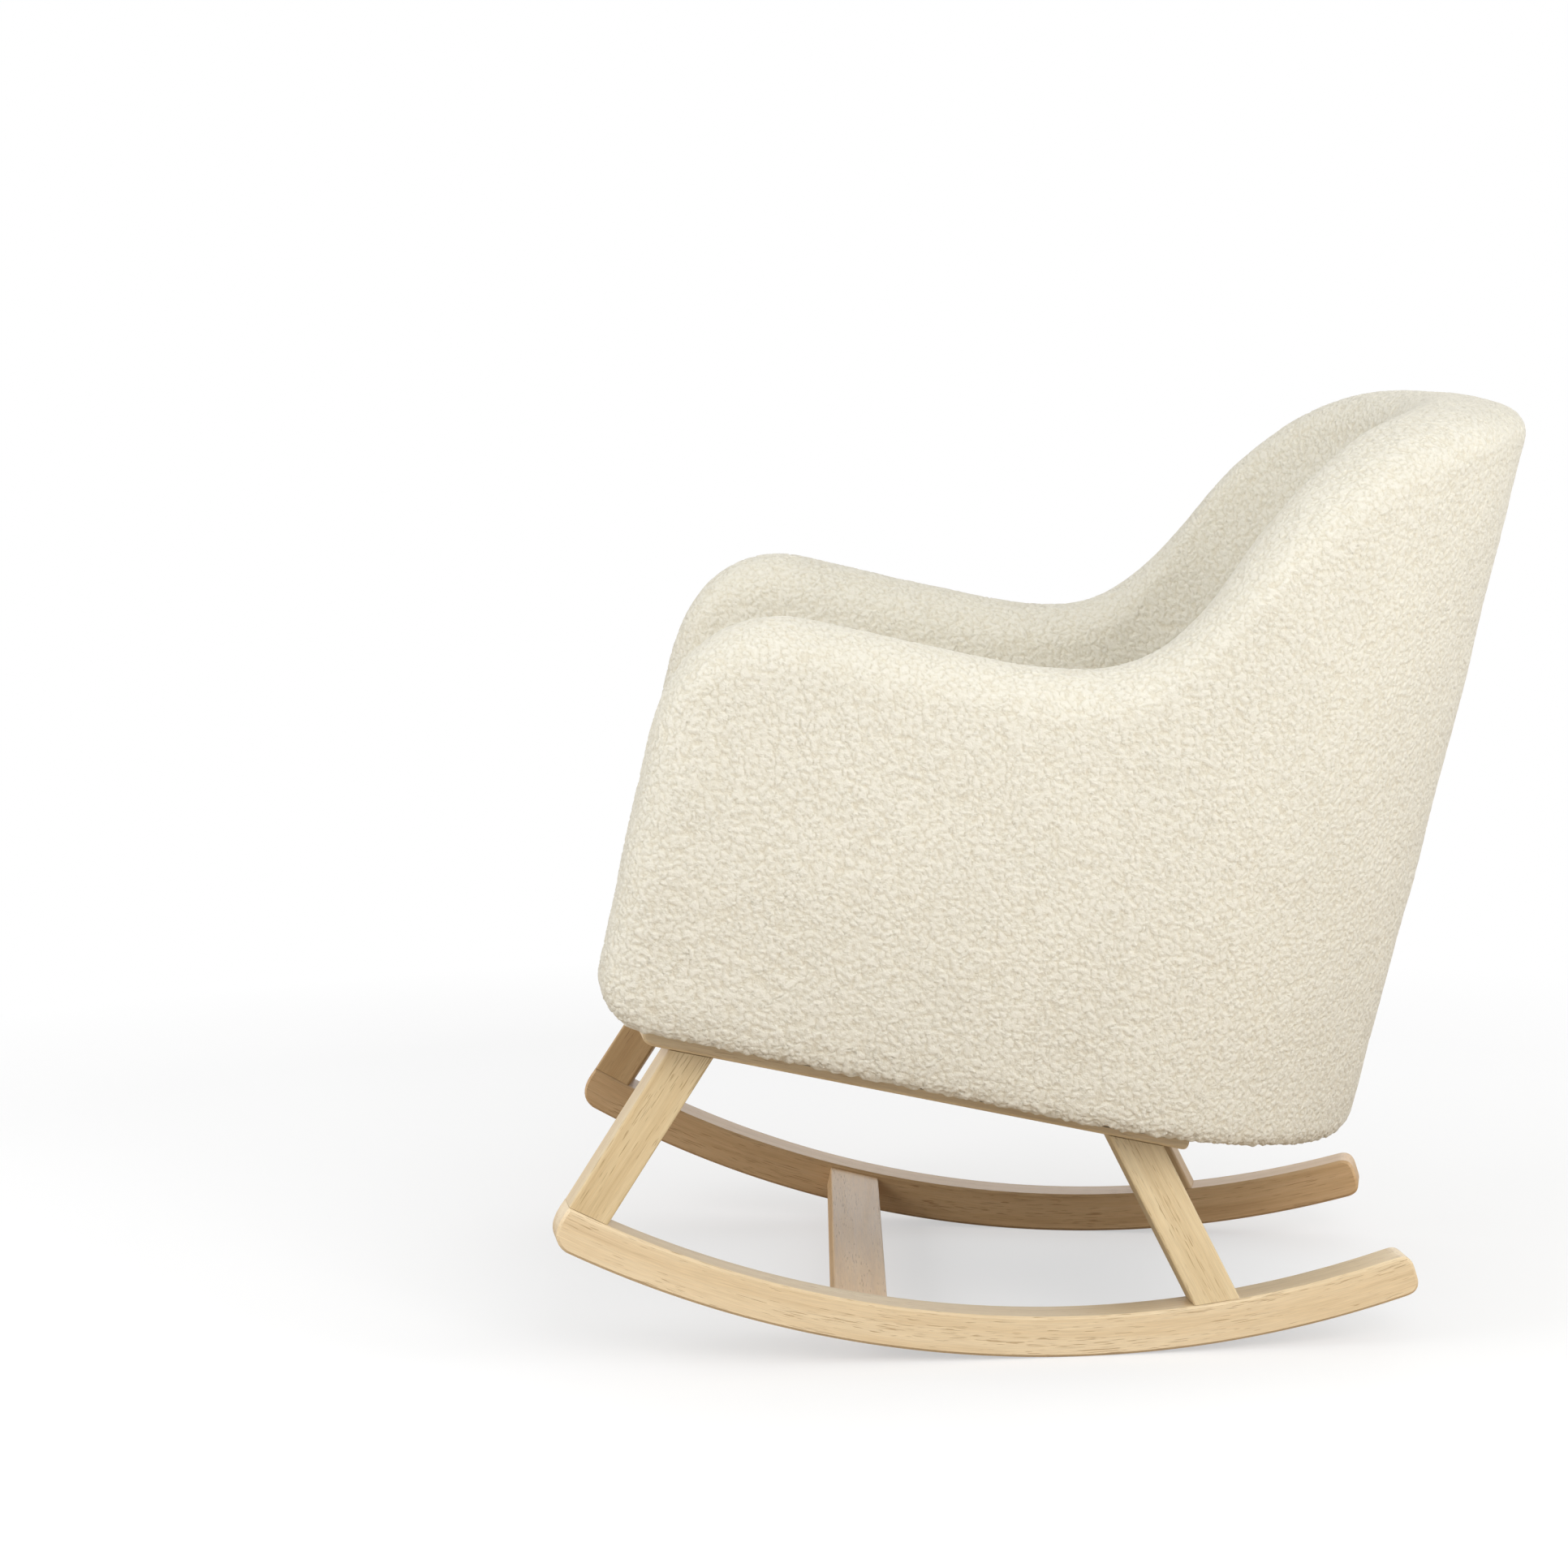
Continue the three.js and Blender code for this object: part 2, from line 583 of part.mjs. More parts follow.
/** The tub wall, solid, before its frame pockets are cut. */
function tubBlank() {
  const nose = Array.from({ length: NOSE_STEPS + 1 }, (_, i) =>
    TUB_FRONT + NOSE_REACH * (i / NOSE_STEPS) ** 2);
  const path = tubPath(nose, 9, 15);
  const normals = pathNormals(path);
  const loops = path.map((point, i) => {
    const distance = point.y - TUB_FRONT;
    const thin = EDGE_ROUND * (1 - cornerShare(distance, EDGE_ROUND, 2));
    const { drop, reach, squareness } = FRONT_CORNER;
    const corner = drop * (1 - cornerShare(distance, reach, squareness));
    const foot = FOOT_CORNER * (1 - cornerShare(distance, FOOT_CORNER, 2));
    const section = wallSection({
      inner: innerDepth(point.y) - thin,
      outer: WALL / 2 - thin,
      bottom: foot,
      top: crestHeight(point.y) - corner,
      belly: BELLY * (1 - thin / (WALL / 2)) * (1 - backness(point.y)),
      rollHeight: THREE.MathUtils.lerp(ARM_ROLL, BACK_ROLL, backness(point.y)),
    });
    return acrossPath(point, normals[i], section);
  });
  return loft(loops);
}

// ---------------------------------------------------------------- frame panels in the tub

const PANEL_STEPS = 12;

/** A flat panel in one arm, grown by a margin all round for its pocket. */
function sidePanel(side, margin) {
  const outline = new THREE.Shape();
  const front = PANEL.front - margin;
  const rear = PANEL.rear + margin;
  const foot = margin ? POCKET_FOOT : PANEL.foot;
  const top = (u) => crestHeight(u) - PANEL.below + margin;
  outline.moveTo(front, foot);
  outline.lineTo(rear, foot);
  const cornerStart = front + PANEL.cornerReach;
  for (let i = 0; i <= PANEL_STEPS; i++) {
    const u = THREE.MathUtils.lerp(rear, cornerStart, i / PANEL_STEPS);
    outline.lineTo(u, top(u));
  }
  outline.quadraticCurveTo(front, top(cornerStart), front, top(front) - PANEL.cornerDrop);
  const thickness = PANEL.thickness + 2 * margin;
  const panel = new THREE.ExtrudeGeometry(outline, {
    depth: thickness, bevelEnabled: false, curveSegments: 6,
  });
  const turned = standInFrame(panel, thickness);
  return turned.rotateZ(Math.atan(side.sign * SIDE_TOE)).translate(side.sign * straightHalf(0), 0, 0);
}

/** The bent panel in the back, grown by a margin all round for its pocket. */
function backPanel(margin) {
  const path = tubPath([CURVE_START], 1, 16);
  const normals = pathNormals(path);
  const first = path.findIndex((point) => point.y > PANEL.rear + BACK_PANEL.behind);
  const last = path.length - 1 - first;
  const half = BACK_PANEL.thickness / 2 + margin;
  const foot = margin ? POCKET_FOOT : BACK_PANEL.foot;
  const loops = [];
  for (let i = first; i <= last; i++) {
    const top = crestHeight(path[i].y) - BACK_PANEL.below + margin;
    const beyond = (i === last ? margin : 0) - (i === first ? margin : 0);
    const along = new THREE.Vector2(-normals[i].y, normals[i].x);
    const point = path[i].clone().addScaledVector(along, beyond);
    loops.push(acrossPath(point, normals[i], [[half, foot], [half, top], [-half, top], [-half, foot]]));
  }
  return loft(loops);
}

/** A seat board across the body, its ends following the side panels. */
function seatBoard([front, rear], margin) {
  const clearance = PANEL.thickness / 2 + 2 * GAP - margin;
  const half = (u) => straightHalf(u) - clearance;
  const outline = new THREE.Shape();
  outline.moveTo(-half(front), front - margin);
  outline.lineTo(half(front), front - margin);
  outline.lineTo(half(rear), rear + margin);
  outline.lineTo(-half(rear), rear + margin);
  const bottom = margin ? POCKET_FOOT : BOARD.bottom;
  const depth = BOARD_TOP + margin - bottom;
  const board = new THREE.ExtrudeGeometry(outline, { depth, bevelEnabled: false });
  return board.translate(0, 0, bottom);
}

function addFrameInside() {
  const boards = [
    { name: "front_seat_board", span: FRONT_BOARD },
    { name: "rear_seat_board", span: REAR_BOARD },
  ];
  const holes = SIDES.flatMap((side) => [
    ...boltHoles(side, TEE_NUT.barrel + 2 * GAP, BOARD_TOP - TEE_NUT.depth - OVERBORE, FAR),
    ...boltHoles(side, BOLT.shank + 2 * GAP, -FAR, FAR),
  ]);
  for (const { name, span } of boards) addMesh(body, name, cut(seatBoard(span, 0), holes), LOOKS.plywood);
  for (const side of SIDES) addMesh(body, `side_panel_${side.name}`, sidePanel(side, 0), LOOKS.plywood);
  addMesh(body, "back_panel", backPanel(0), LOOKS.plywood);
}

function addTub() {
  const margin = 2 * GAP;
  const nutTop = BOARD_TOP + GAP + TEE_NUT.flangeHeight;
  const pockets = [
    ...SIDES.map((side) => sidePanel(side, margin)),
    backPanel(margin),
    seatBoard(FRONT_BOARD, margin),
    seatBoard(REAR_BOARD, margin),
    ...SIDES.flatMap((side) => boltHoles(side, TEE_NUT.flange + 2 * margin, 0, nutTop + margin)),
  ];
  addMesh(body, "tub_cover", cut(tubBlank(), pockets), LOOKS.pile);
}

// ---------------------------------------------------------------- bolts and tee nuts

/** The bolt, washer and tee nut of one fixing, about the bolt's axis. */
function fixing() {
  const hole = post(BOLT.shank + 2 * GAP, -FAR, FAR);
  const washerTop = RAIL_UNDERSIDE + BOLT.recessDepth - GAP;
  const washerBottom = washerTop - BOLT.washerHeight;
  const headTop = washerBottom - GAP;
  const flange = BOARD_TOP + GAP;
  const shank = post(BOLT.shank, headTop - BOLT.headHeight, BOARD_TOP - 1);
  const barrel = post(TEE_NUT.barrel, BOARD_TOP - TEE_NUT.depth, flange + TEE_NUT.flangeHeight);
  return {
    bolt: join([shank, post(BOLT.head, headTop - BOLT.headHeight, headTop)]),
    washer: cut(post(BOLT.washer, washerBottom, washerTop), [hole]),
    tee_nut: cut(join([barrel, post(TEE_NUT.flange, flange, flange + TEE_NUT.flangeHeight)]), [hole]),
  };
}

function addBolts() {
  const rows = { front: BOLT_ROWS[0], rear: BOLT_ROWS[1] };
  for (const side of SIDES) {
    for (const [place, row] of Object.entries(rows)) {
      for (const [kind, geometry] of Object.entries(fixing())) {
        geometry.translate(railCentre(side, row), row, 0);
        addMesh(body, `${kind}_${place}_${side.name}`, geometry, LOOKS.steel);
      }
    }
  }
}

// ---------------------------------------------------------------- seat springs

const STEPS_PER_RUN = 6;

/** A zigzag spring's centre line: straight runs across, joined by loops at alternate ends. */
function springCurve(x) {
  const points = [];
  const straight = SPRING.reach - SPRING.pitch / 4;
  for (let i = 0; i < SPRING.runs; i++) {
    const u = SPRING.front + i * SPRING.pitch;
    const towards = i % 2 ? -1 : 1;
    points.push([-towards * straight, u], [towards * straight, u]);
    if (i < SPRING.runs - 1) points.push([towards * (SPRING.reach + SPRING.loop), u + SPRING.pitch / 2]);
  }
  return new THREE.CatmullRomCurve3(points.map(([dx, u]) => new THREE.Vector3(x + dx, u, WIRE_LEVEL)));
}

/** The wire of one spring. */
function springGeometry(x) {
  const circle = new THREE.Shape().absarc(0, 0, SPRING.wire / 2, 0, 2 * Math.PI);
  return new THREE.ExtrudeGeometry(circle, {
    steps: SPRING.runs * STEPS_PER_RUN,
    curveSegments: 3,
    bevelEnabled: false,
    extrudePath: springCurve(x),
  });
}

/** A spring clip: a folded plate whose mouth, facing forwards or back, holds the spring's end run. */
function clipGeometry(x, u, facing) {
  const floor = BOARD_TOP + GAP;
  const roof = WIRE_LEVEL + CLIP.bore / 2;
  const web = -CLIP.bore / 2 - CLIP.slack;
  const points = [
    [CLIP.length / 2, floor],
    [CLIP.length / 2, floor + CLIP.foot],
    [web, floor + CLIP.foot],
    [web, roof],
    [CLIP.bore / 2, roof],
    [CLIP.bore / 2, roof + CLIP.plate],
    [web - CLIP.plate, roof + CLIP.plate],
    [web - CLIP.plate, floor],
  ].map(([along, up]) => new THREE.Vector2(facing * along, up));
  const outline = new THREE.Shape(facing < 0 ? points.reverse() : points);
  const clip = new THREE.ExtrudeGeometry(outline, { depth: CLIP.width, bevelEnabled: false });
  return standInFrame(clip, CLIP.width).translate(x, u, 0);
}

function addSprings() {
  const rear = SPRING.front + (SPRING.runs - 1) * SPRING.pitch;
  SPRING_ROWS.forEach((x, i) => {
    addMesh(body, `seat_spring_${i + 1}`, springGeometry(x), LOOKS.steel);
    addMesh(body, `spring_clip_front_${i + 1}`, clipGeometry(x, SPRING.front, 1), LOOKS.steel);
    addMesh(body, `spring_clip_rear_${i + 1}`, clipGeometry(x, rear, -1), LOOKS.steel);
  });
}

// ---------------------------------------------------------------- soft pieces in the seat

/** Plan of a piece that fills the seat from its front line to the back, a gap inside the tub. */
function seatPlan(front, gap, cornerRound) {
  const path = tubPath([front + cornerRound], 5, 12);
  const normals = pathNormals(path);
  const plan = path.map((point, i) =>
    point.clone().addScaledVector(normals[i], -innerDepth(point.y) - gap));
  const outline = new THREE.Shape();
  const start = plan[0];
  const end = plan.at(-1);
  outline.moveTo(end.x + cornerRound, front);
  outline.lineTo(start.x - cornerRound, front);
  outline.quadraticCurveTo(start.x, front, start.x, start.y);
  for (const point of plan.slice(1)) outline.lineTo(point.x, point.y);
  outline.quadraticCurveTo(end.x, front, end.x + cornerRound, front);
  return outline;
}

function addSeat() {
  const deckPlan = seatPlan(DECK.front, DECK.sideGap, DECK.corner);
  const deck = easedExtrusion(deckPlan, DECK.thickness, 0).translate(0, 0, DECK.bottom);
  addMesh(body, "deck_pad", deck, LOOKS.deck);

  const depth = CUSHION.top - CUSHION.bottom;
  const plan = seatPlan(CUSHION.front, CUSHION.sideGap, CUSHION.corner);
  const cushion = easedExtrusion(plan, depth, CUSHION.round, 3).translate(0, 0, CUSHION.bottom);
  addMesh(body, "seat_cushion", cushion, LOOKS.pile);

  const border = new THREE.Shape();
  const half = (u) => straightHalf(u) - WALL / 2 - BORDER.sideGap;
  border.moveTo(-half(BORDER.front), BORDER.front);
  border.lineTo(half(BORDER.front), BORDER.front);
  border.lineTo(half(BORDER.rear), BORDER.rear);
  border.lineTo(-half(BORDER.rear), BORDER.rear);
  const pad = easedExtrusion(border, BORDER.top - BORDER.bottom, BORDER.round, 3);
  pad.translate(0, 0, BORDER.bottom);
  addMesh(body, "front_border", pad, LOOKS.pile);
}

/** The zip strip, bent round behind the cushion's back edge. */
function addZip() {
  const middle = (CUSHION.top + CUSHION.bottom) / 2;
  const low = middle - ZIP.height / 2;
  const high = middle + ZIP.height / 2;
  const path = tubPath([CURVE_START], 1, 12);
  const normals = pathNormals(path);
  const loops = [];
  path.forEach((point, i) => {
    if (point.y <= ZIP.from) return;
    const near = GAP - innerDepth(point.y) - CUSHION.sideGap;
    const far = near + ZIP.thickness;
    loops.push(acrossPath(point, normals[i], [[far, low], [far, high], [near, high], [near, low]]));
  });
  addMesh(body, "cushion_zip", loft(loops), LOOKS.zip);
}

function addDustCover() {
  const path = tubPath([TUB_FRONT + FOOT_CORNER], 6, 12);
  const normals = pathNormals(path);
  const inset = WALL / 2 - FLARE - DUST.inset;
  const edge = path.map((point, i) => point.clone().addScaledVector(normals[i], inset));
  const sheet = new THREE.ExtrudeGeometry(new THREE.Shape(edge), {
    depth: DUST.thickness, bevelEnabled: false,
  });
  sheet.translate(0, 0, -DUST.thickness - GAP);
  const holes = SIDES.flatMap((side) => boltHoles(side, BOLT.shank + 2 * GAP, -FAR, FAR));
  addMesh(body, "dust_cover", cut(sheet, holes), LOOKS.cloth);
}

// ---------------------------------------------------------------- assembly

for (const side of SIDES) addSideFrame(side);
addStretcher();
addTub();
addFrameInside();
addBolts();
addSprings();
addSeat();
addZip();
addDustCover();

// Move the middle of the chair's box onto the origin.
chair.updateMatrixWorld(true);
const extent = new THREE.Box3().setFromObject(chair, true);
chair.position.set(0, -(extent.min.y + extent.max.y) / 2, -extent.min.z);

export default chair;
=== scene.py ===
"""Looks of the nursery rocking chair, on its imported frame.

Metres, +Z up. The chair faces -Y and the sitter's left is +X. The upholstered body leans back: its own
coordinates are x across, u rearwards along its bottom, and w square to that bottom.
"""
import json
import math

import bmesh
import bpy
import numpy as np
from mathutils import Matrix, Vector


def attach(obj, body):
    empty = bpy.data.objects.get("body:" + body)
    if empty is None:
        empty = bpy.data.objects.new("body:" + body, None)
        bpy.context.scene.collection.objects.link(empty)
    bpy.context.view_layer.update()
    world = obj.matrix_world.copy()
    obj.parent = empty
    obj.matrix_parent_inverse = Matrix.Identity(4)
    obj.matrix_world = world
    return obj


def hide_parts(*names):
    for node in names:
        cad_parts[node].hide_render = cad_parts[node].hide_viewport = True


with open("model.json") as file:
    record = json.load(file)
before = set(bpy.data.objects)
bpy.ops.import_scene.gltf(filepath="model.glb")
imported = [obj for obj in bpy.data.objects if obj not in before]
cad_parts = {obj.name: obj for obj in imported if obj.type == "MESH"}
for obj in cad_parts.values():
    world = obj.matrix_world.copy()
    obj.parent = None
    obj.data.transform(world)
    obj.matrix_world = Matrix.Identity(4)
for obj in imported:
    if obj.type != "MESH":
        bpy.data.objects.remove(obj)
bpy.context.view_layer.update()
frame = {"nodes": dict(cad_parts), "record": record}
NODES = frame["nodes"]
MOUNTS = {mount["name"]: mount for mount in frame["record"]["mounts"]}

# ------------------------------------------------------------------ driving dimensions

CONTACT = Vector((0, MOUNTS["rest_left"]["pos_m"][1], 0))  # on the floor, where the runners touch it
PITCH = math.radians(12.8)
BODY_FLOOR = 0.227  # from CONTACT to the body's bottom, square to it
BODY = (
    Matrix.Translation(CONTACT)
    @ Matrix.Rotation(-PITCH, 4, "X")
    @ Matrix.Translation((0, 0, BODY_FLOOR))
)

ROCK_RADIUS = 1.051
RUNNER_GAUGE = 0.5
TOE = math.radians(8.4)

TUB_FRONT = -0.510
CURVE_START = -0.060  # where the straight sides turn into the curved back
TUB_REAR = 0.234
CREST_HALF_WIDTH = 0.305
SIDE_TOE = 0.0875
BACK_SQUARENESS = 2.1
WALL = 0.100
BACK_PAD = 0.014
BACK_CENTRE = TUB_REAR - WALL / 2
ARM_HEIGHT = 0.3875
BACK_HEIGHT = 0.7185
SWEEP_MIDDLE = -0.006  # where the top line is halfway up from arm to back
SWEEP_LOW = 0.075
SWEEP_HIGH = 0.128
SWEEP_BLEND = 0.02  # over which the low part's length gives way to the high part's
NOSE = 0.12  # the stretch at the front of each arm where its sections lie closest
CORNER_REACH = 0.118
CORNER_DROP = 0.135
CORNER_SQUARENESS = 2.3
FOOT_CORNER = 0.048
EDGE_ROUND = 0.036
HEM_ROUND = 0.017
FLARE = 0.007
BELLY = 0.005
ARM_ROLL = 0.95
BACK_ROLL = 0.64
ROLL_SQUARENESS = 0.5  # how much squarer than an ellipse the back's roll is
ROLL_TILT = 0.007  # how much its outer edge is raised and its inner edge lowered

PILE_HEIGHT = 0.0018  # from the crevices to the tops of the curls
CURL_SIZE = 0.0068
FRINGE = 0.0035  # how far the longest tufts hang below the tub's hem
FRINGE_BAND = 0.013
SLACK = 0.0022  # slow unevenness of the padding under the cover
SLACK_SIZE = 0.11

PADDING_PRESSURE = 4.0  # that swells the soft pieces
CUSHION_BOTTOM = 0.043
CUSHION_TOP = 0.158
CUSHION_SWELL = 0.016  # the furthest that its cover moves out
SEAM_INSET = 0.026  # from the cushion's top and bottom to its two seams
SEAM_DEPTH = 0.0045
SEAM_WIDTH = 0.0035
BORDER_SWELL = 0.005
BORDER_CROWN = 0.005  # how far the border's front top edge is raised
ZIP_FROM = 0.120  # where along the tub's centre line the zip's ends lie
ZIP_LEVEL = (CUSHION_BOTTOM + CUSHION_TOP) / 2
ZIP_BEHIND = 0.0041  # from the tub's wall to the cushion's face under the zip
DECK_TOP = 0.0424
QUILT_PITCH = 0.095
QUILT_WIDTH = 0.009
QUILT_DEPTH = 0.003
DUST_INSET = 0.0165
DUST_LEVEL = -0.0009
DUST_SAG = 0.007
STAPLE_EVERY = 0.055
STAPLE_INSET = 0.008
STAPLE_HALF = 0.005
STAPLE_WIRE = 0.00045  # half its thickness

FLOOR_BOUNCE = (0.42, 0.33, 0.24, 1)  # the warm light that it throws up at the chair
FLOOR_SEEN = (0.95, 0.95, 0.95, 1)
FLOOR_LIFT = 0.52  # how far the camera sees the floor lifted towards white
FLOOR_FADE = (0.8, 1.9)  # distances over which the floor turns into the white background

FABRIC_GRID = 0.0031
CUSHION_GRID = 0.007
SIMULATED_FRAMES = 20


# ------------------------------------------------------------------ mesh helpers

def new_object(name, mesh):
    obj = bpy.data.objects.new(name, mesh)
    bpy.context.scene.collection.objects.link(obj)
    return obj


def copy_of(node, name):
    """A separate object with a copy of a CAD node's mesh."""
    obj = new_object(name, NODES[node].data.copy())
    obj.data.materials.clear()
    return obj


def bake(obj):
    """Replaces obj's mesh by what its modifiers make of it."""
    graph = bpy.context.evaluated_depsgraph_get()
    mesh = bpy.data.meshes.new_from_object(obj.evaluated_get(graph))
    obj.modifiers.clear()
    obj.data = mesh


def points_of(mesh):
    flat = np.empty(len(mesh.vertices) * 3, np.float32)
    mesh.vertices.foreach_get("co", flat)
    return flat.reshape(-1, 3)


def normals_of(mesh):
    flat = np.empty(len(mesh.vertices) * 3, np.float32)
    mesh.vertex_normals.foreach_get("vector", flat)
    return flat.reshape(-1, 3)


def set_points(mesh, points):
    mesh.vertices.foreach_set("co", np.ascontiguousarray(points, np.float32).ravel())
    mesh.update()


def turned(points, matrix):
    """Points through a 4x4 matrix."""
    numbers = np.array(matrix)
    return points @ numbers[:3, :3].T + numbers[:3, 3]


def body_points(obj):
    """obj's points in the body's own coordinates."""
    return turned(points_of(obj.data), BODY.inverted())


def set_body_points(obj, local):
    set_points(obj.data, turned(local, BODY))


def smoothstep(value, low, high):
    t = np.clip((value - low) / (high - low), 0, 1)
    return t * t * (3 - 2 * t)


def relax(obj, rounds):
    """Applies obj's modifiers and smooths out small steps or crumples."""
    smooth = obj.modifiers.new("smooth", "SMOOTH")
    smooth.factor = 0.5
    smooth.iterations = rounds
    bake(obj)


def remesh(obj, grid, smoothing=4):
    """Even quads of one size all over, with the steps between them smoothed away."""
    voxels = obj.modifiers.new("grid", "REMESH")
    voxels.mode = "VOXEL"
    voxels.voxel_size = grid
    relax(obj, smoothing)


def subdivide(obj, levels):
    surface = obj.modifiers.new("fine", "SUBSURF")
    surface.levels = levels
    surface.render_levels = levels
    bake(obj)


def shade_smooth(obj):
    obj.data.polygons.foreach_set("use_smooth", [True] * len(obj.data.polygons))


def inflate(obj, pressure, cap):
    """Blows obj up as a closed cloth bag. No point moves further than cap."""
    start = points_of(obj.data)
    cloth = obj.modifiers.new("cloth", "CLOTH")
    cloth.settings.quality = 4
    cloth.settings.use_pressure = True
    cloth.settings.uniform_pressure_force = pressure
    cloth.settings.effector_weights.gravity = 0
    cloth.point_cache.frame_start = 1
    cloth.point_cache.frame_end = SIMULATED_FRAMES
    for number in range(1, SIMULATED_FRAMES + 1):
        bpy.context.scene.frame_set(number)
    bake(obj)
    bpy.context.scene.frame_set(1)
    moved = points_of(obj.data) - start
    length = np.linalg.norm(moved, axis=1, keepdims=True)
    set_points(obj.data, start + moved * np.minimum(1, cap / np.maximum(length, 1e-9)))


# ------------------------------------------------------------------ materials

class Surface:
    """A material being made: add() makes a node and sets or wires its inputs."""

    def __init__(self, name, **shader):
        self.material = bpy.data.materials.new(name)
        self.material.use_nodes = True
        self.tree = self.material.node_tree
        self.shader = self.tree.nodes["Principled BSDF"]
        self.place = self.add("ShaderNodeTexCoord").outputs["Object"]
        self.fill(self.shader, shader)

    def add(self, kind, inputs=None, **settings):
        node = self.tree.nodes.new(kind)
        for key, value in settings.items():
            setattr(node, key, value)
        self.fill(node, inputs or {})
        return node

    def fill(self, node, inputs):
        for key, value in inputs.items():
            socket = node.inputs[key.replace("_", " ") if isinstance(key, str) else key]
            if isinstance(value, bpy.types.NodeSocket):
                self.tree.links.new(value, socket)
            else:
                socket.default_value = value

    def noise(self, place, scale, detail=2.0, roughness=0.5):
        inputs = {"Vector": place, "Scale": scale, "Detail": detail, "Roughness": roughness}
        return self.add("ShaderNodeTexNoise", inputs)

    def math(self, operation, first, second=0.0):
        return self.add("ShaderNodeMath", {0: first, 1: second}, operation=operation).outputs[0]

    def between(self, value, low, high, to_low=0.0, to_high=1.0):
        inputs = {"Value": value, "From Min": low, "From Max": high, "To Min": to_low, "To Max": to_high}
        return self.add("ShaderNodeMapRange", inputs).outputs["Result"]

    def mix(self, share, first, second, blend="MIX"):
        node = self.add("ShaderNodeMix", data_type="RGBA", blend_type=blend)
        self.fill(node, {0: share, 6: first, 7: second})
        return node.outputs[2]

    def ramp(self, value, *stops):
        node = self.add("ShaderNodeValToRGB", {"Fac": value})
        elements = node.color_ramp.elements
        while len(elements) < len(stops):
            elements.new(0.5)
        for element, (position, color) in zip(elements, stops):
            element.position = position
            element.color = (*color, 1)
        return node.outputs["Color"]

    def bump(self, height, distance, strength=1.0, normal=None):
        node = self.add("ShaderNodeBump", {"Height": height, "Distance": distance, "Strength": strength})
        if normal:
            self.fill(node, {"Normal": normal})
        return node.outputs["Normal"]

    def stretched(self, place, scale, rotation=(0, 0, 0), offset=(0, 0, 0)):
        node = self.add("ShaderNodeMapping", {"Vector": place})
        self.fill(node, {"Rotation": rotation, "Scale": scale, "Location": offset})
        return node.outputs["Vector"]

    def warped(self, place, scale, reach):
        """Places pushed about by a noise, so that a pattern on them curls."""
        noise = self.noise(place, scale).outputs["Color"]
        centred = self.add("ShaderNodeVectorMath", {0: noise, 1: (0.5, 0.5, 0.5)}, operation="SUBTRACT")
        inputs = {0: centred.outputs[0], "Scale": reach}
        push = self.add("ShaderNodeVectorMath", inputs, operation="SCALE")
        inputs = {0: place, 1: push.outputs[0]}
        return self.add("ShaderNodeVectorMath", inputs, operation="ADD").outputs[0]


def pile_material():
    """Cream curly looped pile with fine fuzz, its colour carrying painted shade: darker and warmer in
    the crevices between the curls, lighter on the curl tops.
    """
    surface = Surface("curly pile", Roughness=0.95, Sheen_Weight=0.2, Sheen_Roughness=0.5)
    surface.fill(surface.shader, {"Sheen Tint": (1.0, 0.97, 0.92, 1), "Specular IOR Level": 0.12})
    height = surface.add("ShaderNodeAttribute", attribute_name="pile_height").outputs["Fac"]
    place = surface.warped(surface.place, 240, 0.004)
    inputs = {"Vector": place, "Scale": 330.0}
    cells = surface.add("ShaderNodeTexVoronoi", inputs, feature="DISTANCE_TO_EDGE")
    strands = surface.between(cells.outputs["Distance"], 0.0, 0.3)
    fuzz = surface.noise(surface.place, 1300, 3, 0.6).outputs["Fac"]
    # Painted shade: the ramp below darkens and warms the pile towards the crevices and the strands'
    # edges, and lightens the curl tops.
    coarse_crevice_shade = surface.math("MULTIPLY", height, 0.8)
    fine_crevice_shade = surface.math("MULTIPLY", strands, 0.2)
    depth = surface.math("ADD", coarse_crevice_shade, fine_crevice_shade)
    color = surface.ramp(
        depth,
        (0.0, (0.62, 0.565, 0.45)),
        (0.3, (0.69, 0.65, 0.54)),
        (0.6, (0.72, 0.686, 0.585)),
        (1.0, (0.74, 0.71, 0.62)),
    )
    patches = surface.between(surface.noise(surface.place, 7, 3).outputs["Fac"], 0.3, 0.7, 0.975, 1.015)
    shade = surface.add("ShaderNodeCombineColor", {0: patches, 1: patches, 2: patches}).outputs[0]
    surface.fill(surface.shader, {"Base Color": surface.mix(1.0, color, shade, "MULTIPLY")})
    coarse = surface.bump(strands, 0.0005, 0.5)
    surface.fill(surface.shader, {"Normal": surface.bump(fuzz, 0.0002, 0.4, coarse)})
    return surface.material


WOOD_TONES = (  # light, middle, dark
    (0.84, 0.66, 0.43),
    (0.765, 0.575, 0.35),
    (0.62, 0.435, 0.245),
)
PORE_TINT = (0.66, 0.56, 0.42)
WOOD_NOISES = (  # how fine along and across the grain, detail, roughness
    (1.6, 48, 3, 0.55),  # bands
    (7, 55, 2, 0.5),  # clouds
    (9, 300, 4, 0.65),  # figure
    (45, 1500, 2, 0.6),  # fibres
    (52, 1050, 1, 0.4),  # flecks
)


